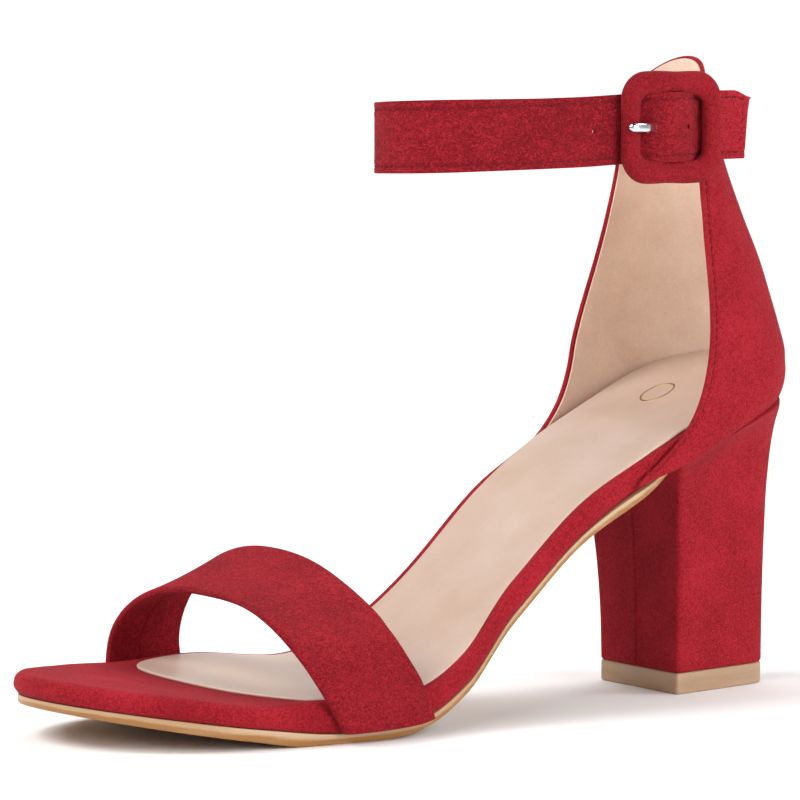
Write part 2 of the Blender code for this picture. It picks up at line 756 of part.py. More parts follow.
def main():
    clear_objects()
    home = bpy.data.collections.new("block_heel_sandal")
    cutters = bpy.data.collections.new("cutters")
    bpy.context.scene.collection.children.link(home)
    bpy.context.scene.collection.children.link(cutters)
    suede = material("crimson_suede", (0.40, 0.022, 0.045), 0.85)
    covered = material("crimson_suede_cover", (0.36, 0.02, 0.04), 0.85)
    sock = material("nude_sock_lining", (0.78, 0.58, 0.45), 0.45)
    tan = material("tan_sole_unit", (0.66, 0.42, 0.20), 0.5)
    lift = material("tan_heel_rubber", (0.56, 0.38, 0.21), 0.55)
    steel = material("polished_steel", (0.75, 0.75, 0.76), 0.2, 1.0)
    make_outsole(tan, home)
    make_platform(covered, home)
    make_sock(sock, home)
    make_heel_block(covered, home)
    make_heel_top_piece(lift, home)
    make_vamp_band(suede, home)
    make_counter_and_strap(suede, home, prong_slot(steel, cutters))
    make_chape(suede, home, chape_slot(steel, cutters))
    make_buckle(covered, home)
    make_prong(steel, home)


main()
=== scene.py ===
# %% [markdown]
# # A block heel sandal in crimson suede
# This lesson dresses the plain solids of one left sandal. The solids give the sizes. Each
# soft piece is then made again as a finer surface, from the same curves, so that its edges
# roll, its seams sink and its nap catches the light. Lengths are in millimetres until a mesh
# is made, because a shoemaker's numbers are easier to read that way.
# %% Frame
import math

import bmesh
import bpy
import numpy as np
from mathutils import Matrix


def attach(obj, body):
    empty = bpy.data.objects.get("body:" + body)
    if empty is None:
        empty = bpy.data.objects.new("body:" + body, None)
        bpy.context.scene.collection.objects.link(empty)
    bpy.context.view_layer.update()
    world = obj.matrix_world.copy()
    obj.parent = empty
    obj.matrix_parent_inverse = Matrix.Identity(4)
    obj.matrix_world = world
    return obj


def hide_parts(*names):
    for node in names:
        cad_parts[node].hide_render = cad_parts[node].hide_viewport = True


MM = 0.001
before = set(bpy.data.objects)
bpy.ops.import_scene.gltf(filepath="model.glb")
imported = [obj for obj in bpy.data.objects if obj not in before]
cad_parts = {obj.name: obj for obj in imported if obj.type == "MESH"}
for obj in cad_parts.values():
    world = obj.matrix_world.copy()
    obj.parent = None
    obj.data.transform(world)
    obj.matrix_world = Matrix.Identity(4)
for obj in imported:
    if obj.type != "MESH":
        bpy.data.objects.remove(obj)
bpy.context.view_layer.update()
print("solids:", sorted(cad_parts))

# %% [markdown]
# ## The photograph's camera
# The camera was fitted to the photograph by its measured corners: a long lens, about a metre
# away, a little above the strap and tilted down by four degrees. A long lens keeps the
# verticals of the heel nearly parallel, as a catalogue picture does.
# %% Camera
camera = bpy.data.objects.new("camera", bpy.data.cameras.new("camera"))
bpy.context.scene.collection.objects.link(camera)
camera.location = (-0.6792, -0.8734, 0.1602)
camera.rotation_euler = (math.radians(85.66), 0.0, math.radians(-33.83))
camera.data.lens = 185.4
camera.data.sensor_width = 36.0
camera.data.clip_end = 50.0
bpy.context.scene.camera = camera

# %% [markdown]
# ## The last
# A sandal is built round a last, the wooden or plastic foot. A few tables describe it: how
# high the footbed lies, how wide it is, and where its middle line runs, at stations from the
# back of the heel to the toe. A cubic through each column gives smooth curves. A spline
# object could hold them too, but a table can be read and measured.
# %% Tables of the last
HEEL_BACK_X = 24.5
PLAN_LENGTH = 224.0
HEEL_ROUND = 25.0
TOE_ROUND = 40.0
TOE_POWER = 2.1
# station, footbed height, rise of the medial edge, board thickness, half-breadth, middle line
LAST = np.array([
    (0, 89.6, 0.0, 10.2, 27.2, 0.2), (20, 83.8, 0.0, 9.2, 28.3, -0.3),
    (40, 74.6, 0.0, 7.8, 29.4, -0.9), (60, 64.8, 0.0, 6.8, 28.8, -1.3),
    (80, 52.4, 0.0, 6.7, 26.2, -1.6), (100, 34.9, 0.0, 6.7, 25.3, -2.4),
    (120, 18.0, 0.3, 6.7, 30.6, -3.2), (140, 11.2, 1.0, 7.8, 35.2, -2.3),
    (160, 12.0, 2.0, 9.2, 36.6, -0.6), (180, 12.1, 1.7, 7.0, 36.2, 1.3),
    (200, 14.2, 0.7, 6.1, 34.1, 3.2), (224, 16.9, 0.0, 5.2, 30.2, 6.0)])
# station, height of the outsole's underside
UNDERSIDE = np.array([
    (48, 62.4), (54, 59.0), (62, 54.1), (80, 43.0), (100, 25.4), (120, 8.6), (134, 1.9),
    (147, 0.0), (168, 0.0), (184, 2.3), (202, 5.4), (224, 9.4)])


def through(at, table, column, rests=True):
    """Cubic through a table's rows: value + rise * (3t^2 - 2t^3) + tangents at both ends.

    Where rests is true, the curve lies level at each turning point."""
    xs = table[:, 0]
    ys = table[:, column]
    step = np.diff(xs)
    slope = np.diff(ys) / step
    tangent = np.empty_like(ys)
    tangent[1:-1] = (slope[:-1] * step[1:] + slope[1:] * step[:-1]) / (step[:-1] + step[1:])
    if rests:
        tangent[1:-1][slope[:-1] * slope[1:] <= 0] = 0.0
    tangent[0] = slope[0]
    tangent[-1] = slope[-1]
    at = np.clip(np.asarray(at, float), xs[0], xs[-1])
    cell = np.clip(np.searchsorted(xs, at) - 1, 0, len(xs) - 2)
    t = (at - xs[cell]) / step[cell]
    rise = (3 * t**2 - 2 * t**3) * (ys[cell + 1] - ys[cell])
    bend = (t**3 - 2 * t**2 + t) * tangent[cell] + (t**3 - t**2) * tangent[cell + 1]
    return ys[cell] + rise + bend * step[cell]


def step_up(at, low, high):
    """Smooth step from 0 at low to 1 at high."""
    t = np.clip((np.asarray(at, float) - low) / (high - low), 0.0, 1.0)
    return t * t * (3 - 2 * t)


def half_breadth(u):
    return through(u, LAST, 4)


def middle(u):
    return through(u, LAST, 5)


def across(x, y):
    """Place across the last: -1 at the lateral edge, 1 at the medial edge."""
    u = HEEL_BACK_X - x
    return np.clip((y - middle(u)) / half_breadth(u), -1.2, 1.2)


def footbed_z(x, y):
    """Footbed height: the table's height plus the medial rise times the place across."""
    u = HEEL_BACK_X - x
    return through(u, LAST, 1) + through(u, LAST, 2) * across(x, y)


def medial_lift(x, y):
    """The sole's medial edge lifts by 0.8 of the rise, with the square of the place across."""
    place = np.clip((across(x, y) - 0.15) / 0.85, 0, None)
    return 0.8 * through(HEEL_BACK_X - x, LAST, 2) * place**2


def board_under_z(x, y):
    u = HEEL_BACK_X - x
    return through(u, LAST, 1) - through(u, LAST, 3) + medial_lift(x, y)


def outsole_under_z(x, y):
    return through(HEEL_BACK_X - x, UNDERSIDE, 1) + medial_lift(x, y)


print("ball breadth", round(2 * float(half_breadth(160.0)), 1), "mm")

# %% [markdown]
# ## Making meshes
# Every piece below is a grid of points worked out as whole arrays, and joined by four-sided
# faces. Points that fall on each other, as at the ends of a sole, are merged, and the faces
# are turned outwards before anything gets a wall.
# %% Mesh helpers
scene_home = bpy.context.scene.collection


def quads(rows, columns, wrap_rows=False, wrap_columns=False, first=0):
    """Faces of a grid of points numbered row by row, starting at first."""
    r = np.arange(rows if wrap_rows else rows - 1)
    c = np.arange(columns if wrap_columns else columns - 1)
    r, c = np.meshgrid(r, c, indexing="ij")
    down = (r + 1) % rows
    right = (c + 1) % columns
    corners = (r * columns + c, r * columns + right, down * columns + right, down * columns + c)
    return (first + np.stack(corners, axis=-1)).reshape(-1, 4).tolist()


def piece(name, points, faces, mats, closed=True):
    """A mesh object from points in millimetres, with its doubles merged and faces outward."""
    mesh = bpy.data.meshes.new(name)
    mesh.from_pydata((np.asarray(points, float).reshape(-1, 3) * MM).tolist(), [], faces)
    work = bmesh.new()
    work.from_mesh(mesh)
    bmesh.ops.remove_doubles(work, verts=work.verts, dist=2e-6)
    bmesh.ops.dissolve_degenerate(work, edges=work.edges, dist=1e-6)
    if closed:
        bmesh.ops.recalc_face_normals(work, faces=work.faces)
    work.to_mesh(mesh)
    work.free()
    mesh.shade_smooth()
    for mat in mats:
        mesh.materials.append(mat)
    thing = bpy.data.objects.new(name, mesh)
    scene_home.objects.link(thing)
    return thing


def unit(vectors):
    return vectors / np.maximum(np.linalg.norm(vectors, axis=-1, keepdims=True), 1e-9)


def around(count):
    """Angles of a full turn in even steps."""
    return np.linspace(0, 2 * math.pi, count, endpoint=False)


def powered(values, power):
    """Values to a power with their signs kept, which makes an oval squarer or rounder."""
    return np.sign(values) * np.abs(values) ** power


def loop_normal(loop):
    """Normals of a closed loop in a plane: its direction turned by a right angle."""
    run = np.roll(loop, -1, axis=0) - np.roll(loop, 1, axis=0)
    return unit(np.column_stack([run[:, 1], -run[:, 0]]))


def distance_along(line):
    """Distance of each point along a line: the sum of the steps before it."""
    return np.concatenate([[0], np.cumsum(np.linalg.norm(np.diff(line, axis=0), axis=1))])


def at_distance(at, run, line):
    """Points at these distances along a line, straight between its own points."""
    return np.column_stack([np.interp(at, run, line[:, c]) for c in range(line.shape[1])])


def grid_normal(grid, flip):
    """Normals of a grid: the cross product of its steps along rows and along columns."""
    return unit(np.cross(np.gradient(grid, axis=0), np.gradient(grid, axis=1))) * flip


def creased(a, b, table):
    """Soft troughs, or ridges where the depth is negative, placed one by one.

    Each is its depth times a bell across it times a bell along it. A row of the table is:
    place in a, place in b, slant of a over b, reach across in a, reach along in b, depth."""
    place_a, place_b, slant, wide, far, depth = np.array(table).T
    off_b = np.asarray(b, float)[..., None] - place_b
    off_a = np.asarray(a, float)[..., None] - place_a - slant * off_b
    return (depth * np.exp(-(off_a / wide) ** 2 - (off_b / far) ** 2)).sum(axis=-1)


def dress(thing, node):
    """The piece rides on the shoe and stands in for its solid, which is hidden."""
    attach(thing, "root")
    if node:
        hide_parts(node)
    print(thing.name, len(thing.data.polygons), "faces")
    return thing


def apply_all(thing):
    """Bake the modifiers into the mesh."""
    shape = bpy.data.meshes.new_from_object(thing.evaluated_get(bpy.context.evaluated_depsgraph_get()))
    thing.modifiers.clear()
    thing.data = shape
    return thing


# %% [markdown]
# ## Making materials
# Every finish starts from a Principled shader. One small function adds a node and links it,
# so that a material reads as a list of what happens to the light.
# %% Material helpers
def linear(code):
    """An sRGB hex colour as linear red, green, blue and alpha."""
    part = np.array([int(code[k:k + 2], 16) for k in (1, 3, 5)]) / 255.0
    part = np.where(part <= 0.04045, part / 12.92, ((part + 0.055) / 1.055) ** 2.4)
    return (*part.tolist(), 1.0)


def add(tree, kind, inputs=None, **settings):
    """Add a node, set its properties, and set or link its inputs."""
    made = tree.nodes.new(kind)
    for key, value in settings.items():
        setattr(made, key, value)
    for key, value in (inputs or {}).items():
        if isinstance(value, bpy.types.NodeSocket):
            tree.links.new(value, made.inputs[key])
        else:
            made.inputs[key].default_value = value
    return made


def finish(name, **sockets):
    """A new material, its Principled shader with these sockets set, and the place on the piece."""
    mat = bpy.data.materials.new(name)
    mat.use_nodes = True
    shader = mat.node_tree.nodes["Principled BSDF"]
    for key, value in sockets.items():
        shader.inputs[key.replace("_", " ")].default_value = value
    place = add(mat.node_tree, "ShaderNodeTexCoord").outputs["Object"]
    return mat, mat.node_tree, shader, place


# %% [markdown]
# ## Crimson faux suede
# Faux suede is a polyester microfibre with a brushed nap. It has no gloss, but the fibre
# ends glow at grazing angles, which the shader's sheen gives. Strokes of the hand leave
# lighter and darker clouds some 16 mm wide, and between them the nap is mottled every
# millimetre or so. The fibres themselves, 0.02 mm thick, are too fine to show, so they are
# drawn at 0.4 mm. A second pattern of small winding wrinkles is for the straps, where the
# cloth is drawn over a stiff core: it is a stretched noise with its ridges kept.
# The troughs of those wrinkles are also painted darker in colour, as painted shade in the creases.
# %% Suede
SUEDE_DARK = "#6C0D16"
SUEDE_MID = "#891520"
SUEDE_LIGHT = "#A2202B"
CLOUD_SIZE = 16.0
MOTTLE_SIZE = 0.8
FIBRE_SIZE = 0.4


def suede(name, wrinkle=0.0, wrinkle_size=1.1, shade=1.0, sheen=0.09):
    """Brushed microfibre. wrinkle is the share of its winding wrinkles, whose troughs are painted darker
    as painted shade; shade scales its colour, for copies painted lighter or darker as painted light and
    shade.
    """
    mat, tree, shader, place = finish(name, Roughness=0.92, Specular_IOR_Level=0.12,
                                      Sheen_Weight=sheen, Sheen_Roughness=0.4)
    shader.inputs["Sheen Tint"].default_value = linear("#E88C94")
    clouds = add(tree, "ShaderNodeTexNoise", {"Vector": place, "Scale": 1 / (CLOUD_SIZE * MM),
                                              "Detail": 3.0, "Roughness": 0.55})
    mottle = add(tree, "ShaderNodeTexNoise", {"Vector": place, "Scale": 1 / (MOTTLE_SIZE * MM),
                                              "Detail": 2.0, "Roughness": 0.6, "Distortion": 0.6})
    fibre = add(tree, "ShaderNodeTexNoise", {"Vector": place, "Scale": 1 / (FIBRE_SIZE * MM),
                                             "Detail": 2.0, "Roughness": 0.75})
    blend = add(tree, "ShaderNodeMath", {0: clouds.outputs["Fac"], 1: 0.45, 2: -0.2},
                operation="MULTIPLY_ADD")
    blend = add(tree, "ShaderNodeMath", {0: mottle.outputs["Fac"], 1: 0.6, 2: blend.outputs[0]},
                operation="MULTIPLY_ADD")
    blend = add(tree, "ShaderNodeMath", {0: fibre.outputs["Fac"], 1: 1.1, 2: blend.outputs[0]},
                operation="MULTIPLY_ADD")
    height = add(tree, "ShaderNodeMath", {0: fibre.outputs["Fac"], 1: 0.9, 2: mottle.outputs["Fac"]},
                 operation="MULTIPLY_ADD")
    if wrinkle:
        drawn = add(tree, "ShaderNodeMapping", {"Vector": place, "Scale": (0.6, 0.6, 1.0)})
        warp = add(tree, "ShaderNodeTexNoise", {"Vector": drawn.outputs[0], "Detail": 2.0,
                                                "Scale": 1 / (wrinkle_size * MM),
                                                "Roughness": 0.5, "Distortion": 1.4})
        crest = add(tree, "ShaderNodeMath", {0: warp.outputs["Fac"], 1: 0.5}, operation="SUBTRACT")
        crest = add(tree, "ShaderNodeMath", {0: crest.outputs[0]}, operation="ABSOLUTE")
        crease = add(tree, "ShaderNodeMapRange", {"Value": crest.outputs[0], "From Min": 0.0,
                                                  "From Max": 0.11})
        # painted shade: the troughs between the wrinkles are painted darker
        blend = add(tree, "ShaderNodeMath",
                    {0: crease.outputs[0], 1: 0.3 * wrinkle, 2: blend.outputs[0]},
                    operation="MULTIPLY_ADD")
        blend = add(tree, "ShaderNodeMath", {0: blend.outputs[0], 1: 0.2 * wrinkle},
                    operation="SUBTRACT")
        height = add(tree, "ShaderNodeMath", {0: crease.outputs[0], 1: wrinkle, 2: height.outputs[0]},
                     operation="MULTIPLY_ADD")
    ramp = add(tree, "ShaderNodeValToRGB", {"Fac": blend.outputs[0]})
    ramp.color_ramp.elements[0].position = 0.5
    ramp.color_ramp.elements.new(0.84)
    for stop, code in zip(ramp.color_ramp.elements, (SUEDE_DARK, SUEDE_MID, SUEDE_LIGHT)):
        stop.color = (*(shade * np.array(linear(code)[:3])).tolist(), 1.0)
    tree.links.new(ramp.outputs["Color"], shader.inputs["Base Color"])
    bump = add(tree, "ShaderNodeBump", {"Height": height.outputs[0], "Strength": 0.7,
                                        "Distance": 0.4 * MM})
    tree.links.new(bump.outputs["Normal"], shader.inputs["Normal"])
    return mat


suede_plain = suede("brushed_microfibre_suede")
# a copy of the suede painted darker for the buckle, as painted shade
suede_painted_shade_buckle = suede("painted_shade_buckle_suede", shade=0.8)
# a copy of the suede painted lighter, with a stronger sheen, for the strap's tail: painted light
suede_painted_light_tail = suede("painted_light_tail_suede", wrinkle=0.8, wrinkle_size=0.9, shade=1.3, sheen=0.5)
suede_strap = suede("wrinkled_strap_suede", wrinkle=1.2, wrinkle_size=0.9)
suede_band = suede("fine_wrinkled_band_suede", wrinkle=0.8, wrinkle_size=0.8)

# %% [markdown]
# ## Nude sock and lining
# The insole sock is a smooth polyurethane on a cotton back: a satin skin with a fine pressed
# grain of about 0.4 mm. The quarter's lining is a matt microfibre of the same family, a
# little browner, with a faint felt of short fibres.
# %% Sock and lining
def satin_skin(name, tone, deep, rough, grain_mm, depth_mm, coat=0.0):
    """Pressed polyurethane or felted lining: a clouded tone over a fine grain."""
    mat, tree, shader, place = finish(name, Roughness=rough, Coat_Weight=coat,
                                      Coat_Roughness=0.35, Sheen_Weight=0.1, Sheen_Roughness=0.5)
    clouds = add(tree, "ShaderNodeTexNoise", {"Vector": place, "Scale": 1 / 0.02, "Detail": 4.0,
                                              "Roughness": 0.6})
    grain = add(tree, "ShaderNodeTexNoise", {"Vector": place, "Scale": 1 / (grain_mm * MM),
                                             "Detail": 3.0, "Roughness": 0.65})
    blend = add(tree, "ShaderNodeMath", {0: grain.outputs["Fac"], 1: 0.5, 2: clouds.outputs["Fac"]},
                operation="MULTIPLY_ADD")
    ramp = add(tree, "ShaderNodeValToRGB", {"Fac": blend.outputs[0]})
    ramp.color_ramp.elements[0].position = 0.5
    ramp.color_ramp.elements[1].position = 1.0
    ramp.color_ramp.elements[0].color = linear(deep)
    ramp.color_ramp.elements[1].color = linear(tone)
    tree.links.new(ramp.outputs["Color"], shader.inputs["Base Color"])
    bump = add(tree, "ShaderNodeBump", {"Height": grain.outputs["Fac"], "Strength": 0.5,
                                        "Distance": depth_mm * MM})
    tree.links.new(bump.outputs["Normal"], shader.inputs["Normal"])
    return mat


sock_skin = satin_skin("nude_polyurethane_sock", "#C7AFA2", "#B99D88", 0.42, 0.45, 0.05, coat=0.15)
lining_felt = satin_skin("nude_felt_lining", "#EAD2BE", "#D6B8A3", 0.8, 0.7, 0.12)

# %% [markdown]
# ## Outsole, heel top piece, thread and metal
# The outsole is a moulded thermoplastic rubber with a lacquered edge, amber with faint streaks
# along its length; the edge is painted darker at its foot, as painted shade, and paler above,
# as painted light. The heel's top piece is a plain moulded polyurethane. The thread is a bonded
# polyester, twisted every 0.5 mm. The prong is steel with a polished nickel plate.
# %% Sole, thread and metal
def moulded(name, tone, deep, rough, streak_mm, painted_shade_foot=False):
    """Moulded rubber with streaks along the shoe: noise stretched ten times along it.

    With the last flag set, the foot of the edge is painted darker as painted shade and its upper half
    paler as painted light, by the piece's own attribute."""
    mat, tree, shader, place = finish(name, Roughness=rough, Coat_Weight=0.12, Coat_Roughness=0.3)
    drawn = add(tree, "ShaderNodeMapping", {"Vector": place, "Scale": (0.1, 0.1, 1.0)})
    streak = add(tree, "ShaderNodeTexNoise", {"Vector": drawn.outputs[0], "Scale": 1 / (streak_mm * MM),
                                              "Detail": 3.0, "Roughness": 0.5})
    speck = add(tree, "ShaderNodeTexNoise", {"Vector": place, "Scale": 1 / 0.0009, "Detail": 2.0})
    blend = add(tree, "ShaderNodeMath", {0: speck.outputs["Fac"], 1: 0.25, 2: streak.outputs["Fac"]},
                operation="MULTIPLY_ADD")
    # painted shade at the foot of the edge and painted light at its top
    if painted_shade_foot:
        share = add(tree, "ShaderNodeAttribute", attribute_name="height_share").outputs["Fac"]
        rise = add(tree, "ShaderNodeMapRange",
                   {"Value": share, "From Min": 0.35, "From Max": 0.7, "To Min": -0.3, "To Max": 0.35},
                   interpolation_type="SMOOTHSTEP")
        blend = add(tree, "ShaderNodeMath", {0: blend.outputs[0], 1: rise.outputs[0]}, operation="ADD")
    ramp = add(tree, "ShaderNodeValToRGB", {"Fac": blend.outputs[0]})
    ramp.color_ramp.elements[0].position = 0.35
    ramp.color_ramp.elements[1].position = 0.85
    ramp.color_ramp.elements[0].color = linear(deep)
    ramp.color_ramp.elements[1].color = linear(tone)
    tree.links.new(ramp.outputs["Color"], shader.inputs["Base Color"])
    bump = add(tree, "ShaderNodeBump", {"Height": speck.outputs["Fac"], "Strength": 0.3,
                                        "Distance": 0.04 * MM})
    tree.links.new(bump.outputs["Normal"], shader.inputs["Normal"])
    return mat


sole_rubber = moulded("amber_thermoplastic_outsole", "#B08E68", "#96642A", 0.45, 1.4, painted_shade_foot=True)
lift_rubber = moulded("tan_polyurethane_top_piece", "#AC8F74", "#9C7C5C", 0.5, 2.5)



def clouded(name, dark, pale, size_mm, detail, **sockets):
    """A plain finish whose colour wavers between two tones, in clouds of this size."""
    mat, tree, shader, place = finish(name, **sockets)
    cloud = add(tree, "ShaderNodeTexNoise", {"Vector": place, "Scale": 1 / (size_mm * MM),
                                             "Detail": detail})
    ramp = add(tree, "ShaderNodeValToRGB", {"Fac": cloud.outputs["Fac"]})
    ramp.color_ramp.elements[0].color = linear(dark)
    ramp.color_ramp.elements[1].color = linear(pale)
    tree.links.new(ramp.outputs["Color"], shader.inputs["Base Color"])
    return mat


thread = clouded("crimson_polyester_thread", "#520A12", "#7C131E", 0.5, 1.0, Roughness=0.8,
                 Specular_IOR_Level=0.2)
foil = clouded("pale_gold_foil", "#9C7438", "#D8BC78", 0.6, 3.0, Metallic=1.0, Roughness=0.3)
paper = clouded("pale_backdrop_paper", "#F4F4F4", "#FAFAFA", 500.0, 2.0, Roughness=0.9)

nickel, tree, shader, place = finish("polished_nickel_plate", Metallic=1.0, Roughness=0.16)
shader.inputs["Base Color"].default_value = linear("#DCDCDE")
rub = add(tree, "ShaderNodeTexNoise", {"Vector": place, "Scale": 1 / 0.0008, "Detail": 3.0})
worn = add(tree, "ShaderNodeMapRange", {"Value": rub.outputs["Fac"], "To Min": 0.12, "To Max": 0.26})
tree.links.new(worn.outputs[0], shader.inputs["Roughness"])

# %% [markdown]
# ## Sole layers
# The board, the sock and the outsole are all layers cut to the last's outline. Each is made
# the same way: the outline is offset inwards along its own normals, one ring for each level
# of the edge's profile, and the two faces are closed by lines across, from the lateral edge
# to the medial. A Boolean of blocks could cut the outline, but it would not give a rolled
# edge that follows the toe spring.
# %% Outline and layers
def plan_ring(first, length, count, toe_round=TOE_ROUND, toe_power=TOE_POWER):
    """Closed outline in plan, lateral side forward and medial side back.

    Half-breadth times the heel's circle, root of 1 - h^2, and the toe's superellipse."""
    phase = np.linspace(0 if first == 0 else math.pi / 3, math.pi, count + 1)
    share = (math.cos(phase[0]) - np.cos(phase)) / (math.cos(phase[0]) + 1)
    u = first + (length - first) * share
    heel = np.clip((HEEL_ROUND - u) / HEEL_ROUND, 0, 1)
    toe = np.clip((u - (length - toe_round)) / toe_round, 0, 1)
    half = half_breadth(u) * np.sqrt(1 - heel**2) * (1 - toe**toe_power) ** (1 / toe_power)
    x = HEEL_BACK_X - u
    lateral = np.column_stack([x, middle(u) - half])
    medial = np.column_stack([x, middle(u) + half])[:-1][::-1]
    if first == 0:
        medial = medial[:-1]
    ring = np.vstack([lateral, medial])
    run = np.roll(ring, -1, axis=0) - np.roll(ring, 1, axis=0)
    if first > 0:
        run[0] = ring[1] - ring[0]
        run[-1] = ring[-1] - ring[-2]
    normal = unit(np.column_stack([run[:, 1], -run[:, 0]]))
    inward = np.einsum("ij,ij->i", normal, ring - ring.mean(axis=0)).sum() < 0
    return ring, -normal if inward else normal, HEEL_BACK_X - ring[:, 0]


def layer(name, outline, inset, profile, top, under, mats, columns=24):
    """A sole layer. Each row of profile is (inset, height, surface): top 1, underside 0.

    A level's points are ring - normal * (inset + row inset), on the surface plus the height."""
    ring, normal, _ = outline
    rings = []
    for sink, lift, surface in profile:
        xy = ring - normal * ((inset + sink) * np.ones(len(ring)))[:, None]
        z = (top if surface else under)(xy[:, 0], xy[:, 1]) + lift
        rings.append(np.column_stack([xy, z]))
    rings = np.array(rings)
    count = len(ring)
    half = count // 2
    near = np.arange(half + 1)
    far = (2 * half - near) % count if count % 2 == 0 else (count - 1 - near)
    share = np.linspace(0, 1, columns)[None, :, None]
    caps = []
    for level, height in ((0, top), (-1, under)):
        edge = rings[level]
        line = edge[near][:, None, :2] * (1 - share) + edge[far][:, None, :2] * share
        lift = profile[level][1] * np.ones(count)
        z = height(line[..., 0], line[..., 1]) + lift[near][:, None]
        caps.append(np.dstack([line, z]))
    points = np.vstack([rings.reshape(-1, 3)] + [c.reshape(-1, 3) for c in caps])
    ends = count % 2 == 0
    faces = quads(len(profile), count, wrap_columns=ends)
    top_first = rings.shape[0] * count
    low_first = top_first + (half + 1) * columns
    for first in (top_first, low_first):
        faces += quads(half + 1, columns, first=first)
    if not ends:
        top_row = list(range(top_first, top_first + columns))
        low_row = list(range(low_first, low_first + columns))
        medial = [k * count + count - 1 for k in range(1, len(profile) - 1)]
        lateral = [k * count for k in range(1, len(profile) - 1)]
        faces.append(top_row + medial + low_row[::-1] + lateral[::-1])
    return piece(name, points, faces, mats)


def rolled(radius, steps):
    """Quarter-round edge: inset radius * (1 - sin a), height -radius * (1 - cos a)."""
    return [(radius * (1 - math.sin(a)), -radius * (1 - math.cos(a)), 1)
            for a in np.linspace(0, math.pi / 2, steps)]


# %% [markdown]
# ## The suede-wrapped footbed
# Suede is wrapped round a fibre board with a thin foam on top, and glued underneath. So the
# upper edge is full and soft, fuller at the open toe, the side bulges a little, and the
# lower edge is drawn in where it meets the outsole.
# %% Footbed platform
WALL = 1.7
GAP = 0.3


def counter_offset(u):
    """How far the counter's outer face stands over the last."""
    return -0.5 + 1.5 * step_up(u, 20, 45)


def counter_tuck(u):
    """How far the counter's foot curls in over the heel seat."""
    return 1.8 - 1.4 * step_up(u, 12, 50)


def tuck_height(u):
    return 0.6 * through(u, LAST, 3)


def board_inset(u):
    """Room for the counter's wall beside the board."""
    play = 0.4 * (1 - step_up(u, 20, 45))
    return (WALL + GAP + play - counter_offset(u)) * (1 - step_up(u, 66, 78))


outline = plan_ring(0, PLAN_LENGTH, 150)
u = outline[2]
# hollows and swellings of the open toe's padding: station, place across, slant of the
# station over the place across, reach along in mm, reach across, depth
PAD_CREASES = ((195.5, 0.1, 9.0, 4.5, 0.55, 0.5), (206.0, -0.35, -7.0, 4.0, 0.3, 0.3),
               (186.0, -0.72, 6.0, 9.0, 0.16, -0.3), (213.0, 0.3, 5.0, 4.0, 0.4, -0.25))


def padded_footbed_z(x, y):
    """Footbed height with a full rim beside the sock, and the soft creases of the open toe."""
    u = HEEL_BACK_X - x
    place = across(x, y)
    rim = 0.8 * step_up(np.abs(place), 0.78, 0.93) * step_up(u, 50, 80) * (1 - step_up(u, 165, 185))
    return footbed_z(x, y) + rim - creased(u, place, PAD_CREASES)


round_edge = 0.8 + 1.4 * step_up(u, 40, 70) + 0.5 * step_up(u, 150, 190)
tuck = 1.1 + counter_tuck(u) * (1 - step_up(u, 60, 80))
flank = padded_footbed_z(*outline[0].T) - board_under_z(*outline[0].T) - 0.9 * round_edge
profile = [(round_edge * (1 - math.sin(a)), -round_edge * 0.9 * (1 - math.cos(a)), 1)
           for a in np.linspace(0, math.pi / 2, 9)]
for share in np.linspace(0.9, 0.0, 12):
    turned_in = tuck * np.clip(1 - flank * share / tuck_height(u), 0, 1) ** 2
    full = 0.35 * math.sin(math.pi * share) * step_up(u, 70, 110)
    profile.append((turned_in - full, flank * share, 0))
footbed = layer("suede_wrapped_footbed", outline, board_inset(u), profile, padded_footbed_z,
                board_under_z, [suede_plain], columns=40)
dress(footbed, "footbed_platform")

# %% [markdown]
# ## The insole sock
# The sock is die-cut and glued on last, so it has a thin square edge that only just rolls
# over. It stays back from the toe and leaves a narrow rim of suede along both sides.
# %% Insole sock
SOCK_TOP = 0.85
sock_outline = plan_ring(0, 185.4, 150, toe_round=24.0, toe_power=2.3)
sock_ring, _, sock_u = sock_outline
sock_ring[:, 0] -= 0.19 * (sock_ring[:, 1] - middle(sock_u)) * step_up(sock_u, 158, 184)
sock_inset = 3.1 - 0.5 * (1 - step_up(sock_u, 30, 55))
sock_profile = rolled(0.4, 5) + [(0.0, 0.3, 0), (0.12, 0.0, 0)]
sock = layer("nude_insole_sock", sock_outline, sock_inset, sock_profile,
             lambda x, y: footbed_z(x, y) + SOCK_TOP, lambda x, y: footbed_z(x, y) + 0.05,
             [sock_skin], columns=40)
dress(sock, "insole_sock")

# %% [markdown]
# ## The outsole
# The outsole shows only as a thin tan edge. It is moulded with a faint step half way down,
# and its rear end is pared to a wedge on the heel's breast.
# %% Outsole
sole_outline = plan_ring(50.6, PLAN_LENGTH, 130)
sole_inset = 0.9 + 2.2 * (1 - step_up(sole_outline[2], 50, 62))
sole_profile = [(0.25, 0.0, 1), (0.08, -0.05, 1), (0.0, -0.22, 1)]
sole_profile += [(0.0, 0.95, 0), (0.1, 0.75, 0), (0.1, 0.45, 0), (0.18, 0.2, 0), (0.45, 0.0, 0)]


def pared_under_z(x, y):
    """The outsole's underside, raised where its rear end is pared to a thin wedge."""
    return outsole_under_z(x, y) + 0.75 * (1 - step_up(HEEL_BACK_X - x, 49.0, 58.0))


outsole = layer("tan_outsole", sole_outline, sole_inset, sole_profile,
                lambda x, y: board_under_z(x, y) - 0.22, pared_under_z, [sole_rubber], columns=40)
